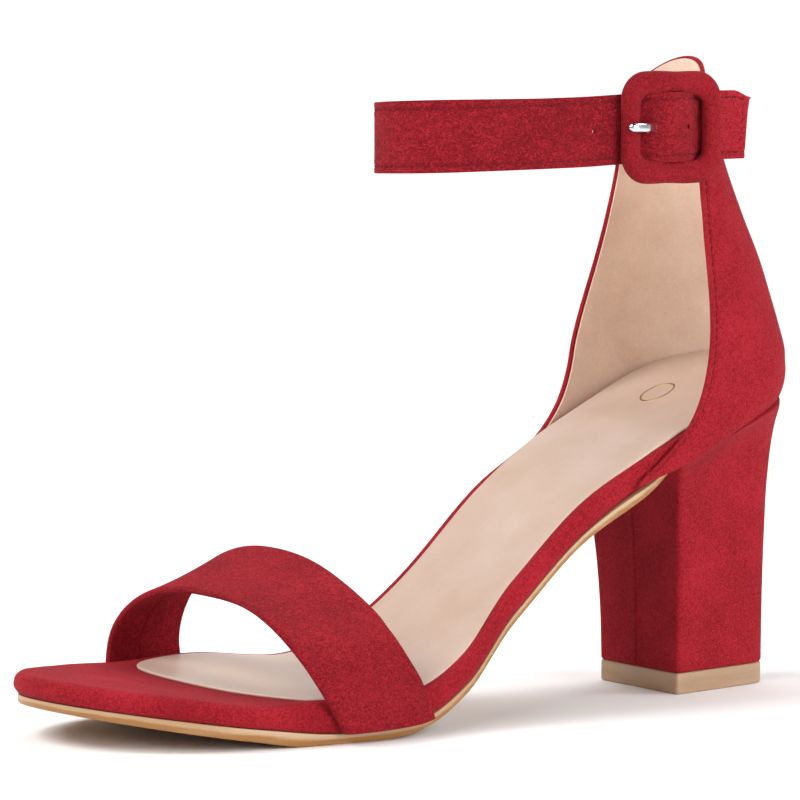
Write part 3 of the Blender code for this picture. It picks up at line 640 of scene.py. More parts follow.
# share of the height up the edge, by which the outsole's finish paints its foot darker as painted shade
# and its top paler as painted light
spots = np.empty(3 * len(outsole.data.vertices))
outsole.data.vertices.foreach_get("co", spots)
x, y, z = spots.reshape(-1, 3).T / MM
top_z = board_under_z(x, y)
height_share = np.clip((z - pared_under_z(x, y)) / (top_z - pared_under_z(x, y)), 0, 1)
outsole.data.attributes.new("height_share", "FLOAT", "POINT").data.foreach_set("value", height_share)
dress(outsole, "outsole")

# %% [markdown]
# ## The covered heel
# A moulded plastic heel is covered with the same suede, drawn tight and closed by a seam
# down the middle of its breast. The outline blends from the small foot to the seat. It is
# smoothed along its own length, which rounds the corners by the thickness of the cloth, and
# the seam is a narrow trough pressed into the breast.
# %% Heel block and top piece
LIFT_HEIGHT = 5.7
HEEL_SEAM_Y = 0.4
# share of the height, spread, breast reach, shift towards medial
HEEL_FLARE = np.array([
    (0.0, 0.0, 0.0, 0.0), (0.25, 0.04, 0.02, 0.2), (0.5, 0.14, 0.10, 0.6), (0.7, 0.27, 0.26, 0.9),
    (0.85, 0.46, 0.48, 0.9), (0.94, 0.69, 0.76, 0.5), (1.0, 1.0, 1.0, 0.0)])
# breast x, half-breadth at the breast and at the back, start of the rounding, back x, power
HEEL_FOOT = np.array((-17.3, 17.4, 11.6, 5.0, 18.6, 4.5))
HEEL_SEAT = np.array((-24.0, 28.6, 26.0, -0.5, 21.8, 2.0))


def even_loop(loop, count):
    """The closed loop again, with its points at even distances along it."""
    closed = np.vstack([loop, loop[:1]])
    run = distance_along(closed)
    return at_distance(np.linspace(0, run[-1], count, endpoint=False), run, closed)


def soften(loop, reach):
    """Running mean round a closed loop, with a bell of this many points each way."""
    weights = np.exp(-0.5 * (np.arange(-3 * reach, 3 * reach + 1) / reach) ** 2)
    weights /= weights.sum()
    return sum(w * np.roll(loop, k, axis=0) for w, k in zip(weights, range(-3 * reach, 3 * reach + 1)))


def heel_outline(spread, reach, count=360, reach_points=3):
    """D-shaped outline: half-breadth along x times the back's superellipse, and the breast."""
    breast, half, back_half, turn, back, power = HEEL_FOOT + (HEEL_SEAT - HEEL_FOOT) * spread
    breast = HEEL_FOOT[0] + (HEEL_SEAT[0] - HEEL_FOOT[0]) * reach
    swing = np.linspace(0, math.pi / 2, 160)
    x = breast + 0.3 + (back - breast - 0.3) * np.sin(swing) ** 0.9
    share = np.clip((x - breast) / (back - breast), 0, 1)
    width = half + (back_half - half) * share
    rounding = np.clip((x - turn) / (back - turn), 0, 1)
    y = width * (1 - rounding**power) ** (1 / power)
    shift = middle(HEEL_BACK_X - x) * spread
    front_y = np.linspace(half - 0.3, -(half - 0.3), 120)
    front = np.column_stack([np.full(120, breast), front_y + middle(HEEL_BACK_X - breast) * spread])
    loop = np.vstack([np.column_stack([x, shift - y]), np.column_stack([x, shift + y])[::-1], front])
    return soften(even_loop(loop, count), reach_points)


def block(name, levels, mats, low_cap, high_cap):
    """A closed body from outlines in levels, with both ends closed towards their middle."""
    count = levels.shape[1]
    parts = [levels.reshape(-1, 3)]
    faces = quads(len(levels), count, wrap_columns=True)
    first = len(levels) * count
    for ring, height in ((levels[0], low_cap), (levels[-1], high_cap)):
        centre = ring[:, :2].mean(axis=0)
        share = np.linspace(1, 0, 12)[:, None, None]
        xy = centre + (ring[None, :, :2] - centre) * share
        z = height(xy[..., 0], xy[..., 1])
        z[0] = ring[:, 2]
        parts.append(np.dstack([xy, z]).reshape(-1, 3))
        faces += quads(12, count, wrap_columns=True, first=first)
        first += 12 * count
    return piece(name, np.vstack(parts), faces, mats)


foot_z = LIFT_HEIGHT + 0.1
rows = []
for share in np.concatenate([[0.0, 0.004, 0.01], np.linspace(0.02, 1.0, 70)]):
    xy = heel_outline(through(share, HEEL_FLARE, 1), through(share, HEEL_FLARE, 2))
    xy[:, 1] += through(share, HEEL_FLARE, 3)
    off = xy[:, 1] - HEEL_SEAM_Y
    trough = np.exp(-(off / 0.35) ** 2) - 0.35 * np.exp(-(off / 1.6) ** 2)
    xy[:, 0] += 0.45 * trough * (xy[:, 0] < xy[:, 0].min() + 3)
    # the cloth rolls in by 0.35 mm at the foot, and stands out by 0.25 mm under the seat
    roll = 0.35 * (1 - min(share / 0.01, 1.0)) ** 2 - 0.25 * share**12
    xy += (xy.mean(axis=0) - xy) / 18.0 * roll
    seat_z = board_under_z(xy[:, 0], xy[:, 1]) - 0.25
    rows.append(np.column_stack([xy, foot_z + (seat_z - foot_z) * share]))
heel = block("covered_block_heel", np.array(rows), [suede_plain],
             lambda x, y: np.full_like(x, foot_z), lambda x, y: board_under_z(x, y) - 0.25)
dress(heel, "heel_block")

lift_xy = heel_outline(0.0, 0.0, reach_points=2) * 0.992
# height, inset
LIFT_PROFILE = ((0.0, 0.55), (0.08, 0.3), (0.3, 0.1), (0.6, 0.0), (5.1, 0.0), (5.4, 0.08), (5.65, 0.3))
lift_normal = loop_normal(lift_xy)
lift_normal *= np.sign(np.einsum("ij,ij->i", lift_normal, lift_xy).sum())
rows = [np.column_stack([lift_xy - lift_normal * sink, np.full(len(lift_xy), z)])
        for z, sink in LIFT_PROFILE]
lift = block("heel_top_piece_tan", np.array(rows), [lift_rubber],
             lambda x, y: np.zeros_like(x), lambda x, y: np.full_like(x, 5.65))
dress(lift, "heel_top_piece")

# %% [markdown]
# ## The vamp band
# The band is cut from suede, lined with suede and turned at its edges, so it has no raw edge
# and no stitches. It arches over the toes from one side of the board to the other. Its
# surface runs between two arches, a low one in front and a high one behind, and its section
# is a closed loop: the outer face, a half-round edge, the inner face and a half-round edge.
# %% Vamp band
# share of the way over the toes, front edge x, rear edge x
BAND = np.array([
    (0.00, -136.0, -109.0), (0.06, -140.5, -112.0), (0.13, -145.5, -116.4), (0.20, -149.3, -119.8),
    (0.30, -151.0, -124.0), (0.45, -150.0, -127.3), (0.60, -149.5, -130.4), (0.75, -153.0, -135.8),
    (0.88, -157.5, -138.2), (1.00, -158.5, -135.5)])
# springing height, crown height, lateral and medial power
FRONT_ARCH = (8.0, 34.6, 3.2, 3.0)
REAR_ARCH = (10.0, 44.5, 2.1, 2.35)
CROWN_Y = 8.0
BAND_WALL = 2.0
BAND_REACH = GAP + BAND_WALL + 0.1
BAND_BREADTH = 26.0
BAND_GIRTH = 118.0
# pulls of the cloth where it bends down to the sole: mm from the front edge, mm over the toes
# from the lateral foot, slant, reach across the crease, reach along it, depth
BAND_CREASES = ((20.0, 16.0, -0.55, 1.6, 8.0, 0.28), (16.5, 21.0, -0.5, 1.4, 9.0, -0.18),
                (22.5, 27.0, -0.6, 1.7, 8.0, 0.22), (8.0, 12.0, 0.5, 1.8, 7.0, 0.2),
                (13.0, 46.0, 0.15, 3.2, 14.0, 0.25), (6.0, 60.0, -0.2, 2.4, 10.0, 0.18),
                (17.0, 98.0, 0.5, 1.8, 8.0, 0.25), (9.0, 104.0, -0.5, 1.8, 7.0, 0.2))


def band_foot_y(x, side):
    """Outer face of the band where it runs down past the platform's edge."""
    u = HEEL_BACK_X - x
    return middle(u) + side * (half_breadth(u) + BAND_REACH)


def band_edge(arch, column, count):
    """One edge over the toes: two superellipse quarters that meet at the crown."""
    spring, crown, lateral_power, medial_power = arch
    lateral_y = float(band_foot_y(through(0.05, BAND, column), -1))
    medial_y = float(band_foot_y(through(0.95, BAND, column), 1))
    swing = np.linspace(0, math.pi / 2, 900)
    flank = []
    for reach, power in ((CROWN_Y - lateral_y, lateral_power), (medial_y - CROWN_Y, medial_power)):
        out = reach * np.cos(swing) ** (2 / power)
        up = spring + (crown - spring) * np.sin(swing) ** (2 / power)
        flank.append(np.column_stack([out, up]))
    lateral = np.column_stack([CROWN_Y - flank[0][:, 0], flank[0][:, 1]])
    medial = np.column_stack([CROWN_Y + flank[1][:, 0], flank[1][:, 1]])[::-1]
    lateral_foot = [lateral_y, float(board_under_z(BAND[0, column], lateral_y))]
    medial_foot = [medial_y, float(board_under_z(BAND[-1, column], medial_y))]
    curve = np.vstack([[lateral_foot], lateral, medial[1:], [medial_foot]])
    run = distance_along(curve)
    share = np.linspace(0, 1, count)
    yz = at_distance(share, run / run[-1], curve)
    return np.column_stack([through(share, BAND, column), yz])


def rolled_shell(outer, thickness, sunk, edge_steps=9, flip=1.0):
    """Closed loop round each line across a sheet: outer face, round edge, inner face, round edge.

    outer has lines along its first axis. sunk is how deep a seam is drawn into the inner face."""
    radius = thickness / 2
    along = np.gradient(outer, axis=0)
    over = np.gradient(outer, axis=1)
    normal = unit(np.cross(along, over)) * flip
    inner = outer - normal * (thickness - sunk)[..., None]
    a = np.linspace(0, math.pi, edge_steps + 2)[1:-1][None, :, None]
    ends = []
    for edge, way in ((-1, 1.0), (0, -1.0)):
        centre = (outer[:, edge] - normal[:, edge] * radius)[:, None]
        out = unit(over[:, edge] * way)[:, None]
        up = normal[:, edge][:, None]
        ends.append(centre + radius * (up * np.cos(a) + out * np.sin(a)))
    loop = np.concatenate([outer, ends[0], inner[:, ::-1], ends[1][:, ::-1]], axis=1)
    rows, count = loop.shape[:2]
    faces = quads(rows, count, wrap_columns=True)
    faces.append(list(range(count)))
    faces.append([(rows - 1) * count + k for k in range(count)])
    return loop, faces


BAND_LINES = 260
BAND_ACROSS = 60
front = band_edge(FRONT_ARCH, 1, BAND_LINES)
rear = band_edge(REAR_ARCH, 2, BAND_LINES)
edge_trim = 0.034
share = np.linspace(edge_trim, 1 - edge_trim, BAND_ACROSS)[None, :, None]
band_face = front[:, None] * (1 - share) + rear[:, None] * share
low = 1 - step_up(band_face[..., 2], 14.0, 34.0)
half = BAND_LINES // 2
for side, foot, lines in ((-1, 0, slice(0, half)), (1, -1, slice(half, None))):
    bulge = band_foot_y(band_face[foot, :, 0], side) - band_face[foot, :, 1]
    band_face[lines, :, 1] += bulge[None, :] * low[lines]
foot_z_now = board_under_z(band_face[[0, -1], :, 0], band_face[[0, -1], :, 1])
drop = 1 - step_up(np.arange(BAND_LINES), 0, 10)[:, None]
band_face[..., 2] += drop * (foot_z_now[0] - band_face[0, :, 2])
band_face[..., 2] += drop[::-1] * (foot_z_now[1] - band_face[-1, :, 2])
over_toes = np.linspace(0, BAND_GIRTH, BAND_LINES)[:, None]
band_press = creased(share[..., 0] * BAND_BREADTH, over_toes, BAND_CREASES)
band_face -= grid_normal(band_face, -1.0) * band_press[..., None]
inner_seam = np.exp(-((share[..., 0] - 0.42) * BAND_BREADTH / 0.45) ** 2)
inner_seam = inner_seam * step_up(np.arange(BAND_LINES), 190, 215)[:, None]
loop, faces = rolled_shell(band_face, BAND_WALL, 0.4 * inner_seam, flip=-1.0)
band = piece("suede_vamp_band", loop, faces, [suede_band])
dress(band, "vamp_band")
print("band stands", round(float(band_face[..., 2].max()), 1), "mm high")

# %% [markdown]
# ## The heel counter with its ankle strap
# The counter is one piece of suede that closes round the heel. Its medial side is cut on
# into the ankle strap. Rows run up the counter, columns run round it from the lateral front
# edge to the medial one, and the strap's columns go on from the top rows of that edge. The
# sheet then gets its wall with Solidify, and the cut edges are turned with a small bevel.
# %% Counter surface
# height, back x, rounding depth, share of the half-breadth
CUP = np.array([
    (60, 24.0, 25.0, 1.0), (89, 24.0, 25.0, 1.02), (97, 22.2, 25.0, 0.99), (105, 19.9, 24.4, 0.925),
    (114, 17.2, 23.0, 0.835), (127, 11.8, 20.8, 0.715), (139.5, 6.9, 18.5, 0.62),
    (157, 1.2, 15.0, 0.56), (169, -2.0, 12.5, 0.53)])
# row, front edge x, front height, back height
COUNTER_ROWS = np.array([
    (0, -40.5, 57.0, 79.4), (1, -36.5, 61.0, 82.5), (2, -28.5, 68.0, 86.5), (3, -23.0, 75.0, 92.0),
    (4, -19.6, 83.0, 98.5), (5, -17.7, 92.0, 106.0), (6, -15.8, 103.0, 115.0), (7, -14.3, 114.0, 124.0),
    (8, -13.0, 126.0, 134.0), (9, -12.0, 139.5, 145.5), (10, -11.8, 148.5, 157.5),
    (11, -11.6, 157.4, 168.6)])
# outer face of the strap in plan: x, y, height of its middle
STRAP_PATH = np.array([
    (-30, 19.4, 148.3), (-50, 19.9, 148.1), (-70, 19.6, 147.9), (-86, 16.5, 147.6),
    (-94, 11, 147.4), (-98.5, 4, 147.3), (-99.5, -3, 147.4), (-97, -10.5, 147.5),
    (-90, -16.5, 147.7), (-80, -19.6, 148.0), (-65, -21.4, 148.4), (-50, -22.4, 148.9),
    (-41, -22.7, 149.4), (-36.6, -23.1, 149.6), (-30.8, -26.0, 149.8), (-26.2, -27.2, 150.0),
    (-21.6, -26.0, 150.1), (-15.8, -23.1, 150.2), (-10, -22.7, 150.4), (-4, -23.1, 150.5),
    (0.4, -23.8, 150.6)])
STRAP_WIDTH = 18.0
STITCH_INSET = 1.8


def counter_face(row, side):
    """The counter's outer face for rows 0 to 11 and sides -1 to 1, broadcast together.

    Each row's x and z run from the back to the front with 1 - cos, and y is the cup's
    half-breadth times the root of 1 - (1 - depth)^2."""
    row, side = np.broadcast_arrays(np.asarray(row, float), np.asarray(side, float))
    along = 1 - np.cos(np.abs(side) * math.pi / 2)
    front_x, front_z, back_z = (through(row, COUNTER_ROWS, c) for c in (1, 2, 3))
    back_x = through(back_z, CUP, 1)
    x = back_x + (front_x - back_x) * along
    z = back_z + (front_z - back_z) * along
    foot = np.clip(1 - row, 0, 1)
    first = COUNTER_ROWS[0, 3] + (COUNTER_ROWS[0, 2] - COUNTER_ROWS[0, 3]) * along
    z = z + foot * (board_under_z(x, x * 0) - first + 1.7 * step_up(np.abs(side), 0.86, 1.0))
    u = HEEL_BACK_X - x
    depth = np.clip((through(z, CUP, 1) - x) / through(z, CUP, 2), 0, 1)
    half = (half_breadth(u) + counter_offset(u)) * through(z, CUP, 3)
    y = middle(u) + np.sign(side) * half * np.sqrt(1 - (1 - depth) ** 2)
    run_x = np.gradient(x, axis=1)
    run_y = np.gradient(y, axis=1)
    length = np.maximum(np.hypot(run_x, run_y), 1e-9)
    over_seat = np.clip((z - board_under_z(x, x * 0)) / tuck_height(u), 0, 1)
    tuck = counter_tuck(u) * (1 - over_seat) ** 2
    return np.stack([x - run_y / length * tuck, y + run_x / length * tuck, z], axis=-1)


def close_to_edges(width, inset, count):
    """Places across a strip: fine at both edges and beside the stitches, even between them."""
    fine = np.array([0.0, 0.35, 0.8, 1.2, inset - 0.3, inset, inset + 0.3, inset + 0.8])
    body = np.linspace(inset + 1.6, width - inset - 1.6, count)
    return np.concatenate([fine, body, (width - fine)[::-1]])


strap_v = close_to_edges(STRAP_WIDTH, STITCH_INSET, 14)
strap_rows = 9 + 2 * strap_v / STRAP_WIDTH
low_rows = np.linspace(0, 9, 76)[:-1]
row_values = np.concatenate([low_rows, strap_rows])
side_fine = np.array([0.0, 0.008, 0.018, 0.028, 0.036, 0.044, 0.052, 0.064])
side_body = np.linspace(-1 + 0.085, 1 - 0.085, 115)
side_values = np.concatenate([-1 + side_fine, side_body, 1 - side_fine[::-1]])
counter = counter_face(row_values[:, None], side_values[None, :])
print("counter grid", counter.shape[:2], "top", round(float(counter[..., 2].max()), 1), "mm")

# %% [markdown]
# The strap leaves the counter on a curve through the table's points. The furrow beside each
# edge, where the stitches pull the suede down, is pressed in along the surface's normal.
# %% Strap surface and the joined sheet
start = counter_face(np.array([[10.0, 10.0]]), np.array([[0.98, 1.0]]))[0, 1]
knots = np.vstack([start, STRAP_PATH])
knot_run = distance_along(knots[:, :2])
strap_table = np.column_stack([knot_run, knots])
STRAP_RUN = float(knot_run[-1])


def strap_line(run):
    """Middle of the strap's outer face at a distance along it."""
    return np.stack([through(run, strap_table, c, rests=False) for c in (1, 2, 3)], axis=-1)


edge_column = counter[len(low_rows):, -1]
edge_shift = edge_column - start
edge_shift[:, 2] -= (strap_v - STRAP_WIDTH / 2)


def strap_face(run, v):
    """The strap's outer face: its middle line plus the height v over the lower edge.

    Near the counter it keeps the shape of the counter's edge, and its end leans back."""
    run, v = np.broadcast_arrays(np.asarray(run, float), np.asarray(v, float))
    place = strap_line(run).copy()
    place[..., 2] += v - STRAP_WIDTH / 2
    fade = (1 - step_up(run, 0.0, 9.0))[..., None]
    shift = np.stack([np.interp(v, strap_v, edge_shift[:, c]) for c in range(3)], axis=-1)
    end = step_up(run, STRAP_RUN - 12, STRAP_RUN)
    corner = np.clip((v - STRAP_WIDTH / 2) / STRAP_WIDTH * 2, 0, 1) ** 3
    place[..., 0] += ((v - STRAP_WIDTH / 2) / STRAP_WIDTH * 1.6 - 0.6) * end + 0.5 * corner * end
    place[..., 2] -= 1.9 * corner * step_up(run, STRAP_RUN - 5, STRAP_RUN)
    return place + shift * fade


def strap_normal(run):
    """Outward normal of the strap in plan: its direction turned by a right angle."""
    ahead = strap_line(run + 0.05) - strap_line(run - 0.05)
    return unit(np.stack([ahead[..., 1], -ahead[..., 0], ahead[..., 0] * 0], axis=-1))


strap_run = np.concatenate([np.linspace(0, STRAP_RUN - 2.6, 190)[1:],
                            STRAP_RUN - np.array([2.1, 1.8, 1.5, 1.0, 0.5, 0.0])])
strap = strap_face(strap_run[None, :], strap_v[:, None])
strap_out = strap_normal(strap_run)
print("strap length round the ankle", round(STRAP_RUN), "mm")


def furrow(distance, depth=0.22, width=0.45):
    """Depth pressed in by stitches at this distance: a bell, with a soft swelling beside it."""
    swelling = np.exp(-((np.abs(distance) - 1.1) / 0.7) ** 2)
    return depth * (np.exp(-(distance / width) ** 2) - 0.35 * swelling)


def outer_normal(sheet):
    """Normals of a counter sheet, turned outwards by one point of its lateral side."""
    normal = grid_normal(sheet, 1.0)
    return -normal if normal[30, 5, 1] > 0 else normal


counter_normal = outer_normal(counter)
edge_gap = np.minimum(np.linalg.norm(counter - counter[:, :1], axis=-1), 60.0)
medial_gap = np.minimum(np.linalg.norm(counter - counter[:, -1:], axis=-1), 60.0)
medial_gap[len(low_rows):] = 60.0
top_gap = np.linalg.norm(counter - counter[-1:], axis=-1)
press = sum(furrow(gap - STITCH_INSET) for gap in (edge_gap, medial_gap, top_gap))
# creases of the counter's two sides: row, place round it, slant, reach in rows, reach round, depth
COUNTER_CREASES = ((8.1, -0.86, 5.0, 0.3, 0.10, 0.25), (7.4, -0.72, 6.0, 0.35, 0.12, 0.22),
                   (3.4, -0.6, 4.0, 0.4, 0.16, 0.25), (2.2, -0.35, 1.5, 0.35, 0.2, -0.2),
                   (7.8, 0.8, -5.0, 0.35, 0.12, 0.25), (3.2, 0.55, -4.0, 0.4, 0.16, 0.22))
# creases of the strap: mm along it, mm over its lower edge, slant, reach along, reach up, depth
STRAP_CREASES = ((40.0, 10.0, 0.3, 2.5, 8.0, 0.2), (96.0, 9.0, -0.5, 1.6, 7.0, 0.22),
                 (104.0, 8.0, 0.6, 1.5, 6.0, 0.2), (170.0, 7.0, 0.7, 1.8, 6.0, 0.2),
                 (177.0, 11.0, -0.8, 1.6, 6.0, 0.2), (184.0, 9.0, 0.4, 1.8, 8.0, -0.15))
press = press + creased(row_values[:, None], side_values[None, :], COUNTER_CREASES)
counter_sheet = counter - counter_normal * press[..., None]
strap_press = furrow(strap_v - STITCH_INSET) + furrow(STRAP_WIDTH - STITCH_INSET - strap_v)
strap_press = strap_press[:, None] + creased(strap_run[None, :], strap_v[:, None], STRAP_CREASES)
strap_sheet = strap - strap_out[None] * strap_press[..., None]

SUEDE_THICK = 1.2
rows, columns = counter.shape[:2]
strap_count = len(strap_run)
points = np.vstack([counter_sheet.reshape(-1, 3), strap_sheet.reshape(-1, 3)])
faces = quads(rows, columns)
base = rows * columns
faces += quads(len(strap_v), strap_count, first=base)
k = np.arange(len(strap_v) - 1)
edge = (len(low_rows) + k) * columns + columns - 1
fresh = base + k * strap_count
faces += np.column_stack([edge, fresh, fresh + strap_count, edge + columns]).tolist()
counter_piece = piece("suede_counter_and_ankle_strap", points, faces,
                      [suede_strap, suede_plain, suede_painted_light_tail])


def face_middles(thing):
    """Middles and normals of a piece's faces, as two arrays in metres."""
    middles = np.empty(3 * len(thing.data.polygons))
    normals = np.empty_like(middles)
    thing.data.polygons.foreach_get("center", middles)
    thing.data.polygons.foreach_get("normal", normals)
    return middles.reshape(-1, 3), normals.reshape(-1, 3)


x, y, z = face_middles(counter_piece)[0].T / MM
finish_of_face = np.where((z < 138.5) | ((x > -12.5) & (y > -20.5)), 1, 0)
# faces of the strap's tail take the third finish, the copy painted lighter as painted light
finish_of_face[(x > -10.5) & (y < -20.5) & (z > 138.5)] = 2
counter_piece.data.polygons.foreach_set("material_index", finish_of_face)


def turn_edges(thing, width, segments):
    """Round a sheet's cut edges, which are those sharper than 60 degrees."""
    turned = thing.modifiers.new("turned_edge", "BEVEL")
    turned.width = width * MM
    turned.segments = segments
    turned.limit_method = "ANGLE"
    turned.angle_limit = math.radians(60)


def wall(thing, thickness, bevel):
    """Give a sheet its wall, inwards from its outer face, and turn its cut edges."""
    solid = thing.modifiers.new("wall", "SOLIDIFY")
    solid.thickness = thickness * MM
    solid.offset = -1.0
    solid.use_even_offset = True
    solid.use_quality_normals = True
    turn_edges(thing, bevel, 3)
    return apply_all(thing)


def outward(thing, centre):
    """Turn a sheet's faces away from a centre, given in millimetres."""
    middles, normals = face_middles(thing)
    if ((middles - np.array(centre) * MM) * normals).sum() < 0:
        thing.data.flip_normals()


outward(counter_piece, (-20.0, 0.0, 110.0))
wall(counter_piece, SUEDE_THICK, 0.35)
dress(counter_piece, "heel_counter_and_ankle_strap")

# %% [markdown]
# ## The lining
# The counter's lining is glued inside and trimmed just short of the turned edge, so a thin
# red line of suede shows round it. It is a thin sheet of its own, laid on the inner face of
# the suede, and the strap's backing is a strip joined to it with a butt seam.
# %% Lining
LINING_THICK = 0.5
side_in = np.concatenate([[-0.987, -0.98], np.linspace(-0.96, 0.96, 110), [0.98, 0.987]])
row_in = np.concatenate([np.linspace(1.1, 10.8, 90), [10.92, 10.965]])
inner = counter_face(row_in[:, None], side_in[None, :])
inner_sheet = inner - outer_normal(inner) * (SUEDE_THICK - 0.05)
counter_lining = piece("counter_lining", inner_sheet, quads(*inner_sheet.shape[:2]), [lining_felt])
outward(counter_lining, (-20.0, 0.0, 110.0))
wall(counter_lining, LINING_THICK, 0.18)
dress(counter_lining, "heel_counter_and_ankle_strap")

lining_v = np.concatenate([[0.9, 1.1], np.linspace(1.6, STRAP_WIDTH - 1.6, 14),
                           [STRAP_WIDTH - 1.1, STRAP_WIDTH - 0.9]])
lining_run = np.linspace(0.3, STRAP_RUN - 1.0, 180)
backing = strap_face(lining_run[None, :], lining_v[:, None])
backing = backing - strap_normal(lining_run)[None] * (SUEDE_THICK - 0.05)
strap_lining = piece("strap_backing", backing, quads(*backing.shape[:2]), [lining_felt])
outward(strap_lining, (-50.0, 0.0, 148.0))
wall(strap_lining, LINING_THICK, 0.18)
dress(strap_lining, "heel_counter_and_ankle_strap")

# %% [markdown]
# ## Stitches
# A lockstitch shows as short raised grains, each 1.5 mm long with 0.7 mm between them. One
# grain is a small capsule of a few dozen faces. All grains of a row are placed at once: its
# direction along the seam and the surface's normal turn the capsule into place.
# %% Stitch rows
STITCH_PITCH = 2.2
STITCH_LONG = 1.55
STITCH_WIDE = 0.42
STITCH_SUNK = -0.12


def capsule(length, width, rings=7, sides=8):
    """Unit capsule along X: radius is width / 2 times the fourth root of 1 - t^4."""
    t = np.sin(np.linspace(-math.pi / 2, math.pi / 2, rings))
    a = around(sides)
    r = width / 2 * (1 - np.abs(t) ** 4) ** 0.25
    t, a2 = np.meshgrid(t, a, indexing="ij")
    r = np.repeat(r[:, None], sides, axis=1)
    return np.stack([t * length / 2, r * np.cos(a2), r * np.sin(a2) * 0.8], axis=-1), (rings, sides)


def grains(name, centres, along, normal):
    """One mesh of stitches at these centres. Each is turned to its seam and surface."""
    shape, (rings, sides) = capsule(STITCH_LONG, STITCH_WIDE)
    flat = shape.reshape(-1, 3)
    binormal = unit(np.cross(normal, along))
    turned = np.stack([along, binormal, normal], axis=1)
    points = centres[:, None] + np.einsum("pk,nkc->npc", flat, turned)
    one = np.array(quads(rings, sides, wrap_columns=True))
    faces = one[None] + (np.arange(len(centres)) * rings * sides)[:, None, None]
    return piece(name, points, faces.reshape(-1, 4).tolist(), [thread])


def seam_on(face, lift):
    """Even stitches on a densely sampled line: centres, directions and normals."""
    line, normal = face
    run = distance_along(line)
    at = np.arange(STITCH_PITCH * 0.6, run[-1] - STITCH_PITCH * 0.5, STITCH_PITCH)
    along = unit(at_distance(at + 0.3, run, line) - at_distance(at - 0.3, run, line))
    up = unit(at_distance(at, run, normal))
    centre = at_distance(at, run, line) + up * lift
    return centre, along, unit(up - along * np.sum(up * along, axis=1, keepdims=True))


seams = []
dense = np.linspace(0.5, STRAP_RUN - 1.2, 1500)
for v in (STITCH_INSET, STRAP_WIDTH - STITCH_INSET):
    seams.append(seam_on((strap_face(dense, np.full_like(dense, v)), strap_normal(dense)), STITCH_SUNK))
tail_v = np.linspace(STITCH_INSET, STRAP_WIDTH - STITCH_INSET, 60)
tail_run = np.full_like(tail_v, STRAP_RUN - 1.6)
seams.append(seam_on((strap_face(tail_run, tail_v), strap_normal(tail_run)), -0.1))
for column, last_row in ((0, rows), (columns - 1, len(low_rows) + 2)):
    gap = np.linalg.norm(counter - counter[:, column:column + 1], axis=-1)
    near = slice(None, 12) if column == 0 else slice(None, -13, -1)
    line, normal = [], []
    for r in range(4, last_row):
        for kept, grid in ((line, counter), (normal, counter_normal)):
            kept.append([np.interp(STITCH_INSET, gap[r, near], grid[r, near, c]) for c in range(3)])
    seams.append(seam_on((np.array(line), np.array(normal)), STITCH_SUNK))
seams.append(seam_on((counter[-6, 6:], counter_normal[-6, 6:]), STITCH_SUNK))
centres, along, normal = (np.vstack([s[k] for s in seams]) for k in range(3))
stitches = grains("crimson_stitches", centres, along, normal)
dress(stitches, None)
print(len(centres), "stitches")

# %% [markdown]
# ## The covered buckle
# A square wire frame is padded and wrapped in suede. The cloth is gathered on the inside, so
# the inner corners pucker. The section is an oval carried round a rectangle with round
# corners, and the puckers are small ripples that fade towards the outer side.
# %% Buckle
BUCKLE_X = -26.2
BUCKLE_Z = 149.9
BUCKLE_WIDTH = 31.4
BUCKLE_HEIGHT = 29.0
BUCKLE_BAR = 5.1
BUCKLE_FACE_Y = -27.3
BUCKLE_BACK_Y = -23.0
BUCKLE_CORNER = 6.5
BAR_RADIUS = 1.2
BAR_Y = -22.8


def rounded_rectangle(width, height, radius, count):
    """Closed line of a rectangle with round corners, at even distances."""
    a = np.linspace(0, math.pi / 2, 24)
    corners = []
    for quarter, (sx, sz) in enumerate(((1, 1), (-1, 1), (-1, -1), (1, -1))):
        turn = a + quarter * math.pi / 2
        corners.append(np.column_stack([sx * (width / 2 - radius) + radius * np.cos(turn),
                                        sz * (height / 2 - radius) + radius * np.sin(turn)]))
    return even_loop(np.vstack(corners), count)


line = rounded_rectangle(BUCKLE_WIDTH - BUCKLE_BAR, BUCKLE_HEIGHT - BUCKLE_BAR,
                         BUCKLE_CORNER - BUCKLE_BAR / 2 + 0.8, 320)
out = loop_normal(line)
turning = np.abs(np.cross(unit(np.roll(line, -6, axis=0) - line), unit(line - np.roll(line, 6, axis=0))))
corner_share = np.clip(turning / turning.max(), 0, 1)
a = around(40)
oval_x = powered(np.cos(a), 0.9)
oval_y = powered(np.sin(a), 0.9)
run = np.arange(320)[:, None]
inside = np.clip(-np.cos(a), 0, 1)[None, :] ** 1.5
pucker = 0.16 * np.sin(run * 2 * math.pi / 6.4) * inside * corner_share[:, None]
slack = 0.08 * np.sin(run * 2 * math.pi / 40 + 3 * np.cos(a)[None, :])
fuller = (0.75 * np.abs(out[:, 1:]) ** 0.5 + 0.8 * corner_share[:, None]) * inside
reach = (BUCKLE_BAR / 2 + pucker + slack + fuller) * oval_x[None, :]
depth = (BUCKLE_BACK_Y - BUCKLE_FACE_Y) / 2 * oval_y[None, :] * np.ones_like(reach)
middle_y = (BUCKLE_FACE_Y + BUCKLE_BACK_Y) / 2
points = np.stack([BUCKLE_X + line[:, :1] + out[:, :1] * reach, middle_y - depth,
                   BUCKLE_Z + line[:, 1:] + out[:, 1:] * reach], axis=-1)
# the buckle takes the suede copy that is painted darker, as painted shade
buckle = piece("suede_covered_buckle", points, quads(320, 40, True, True), [suede_painted_shade_buckle])
dress(buckle, "buckle_frame")


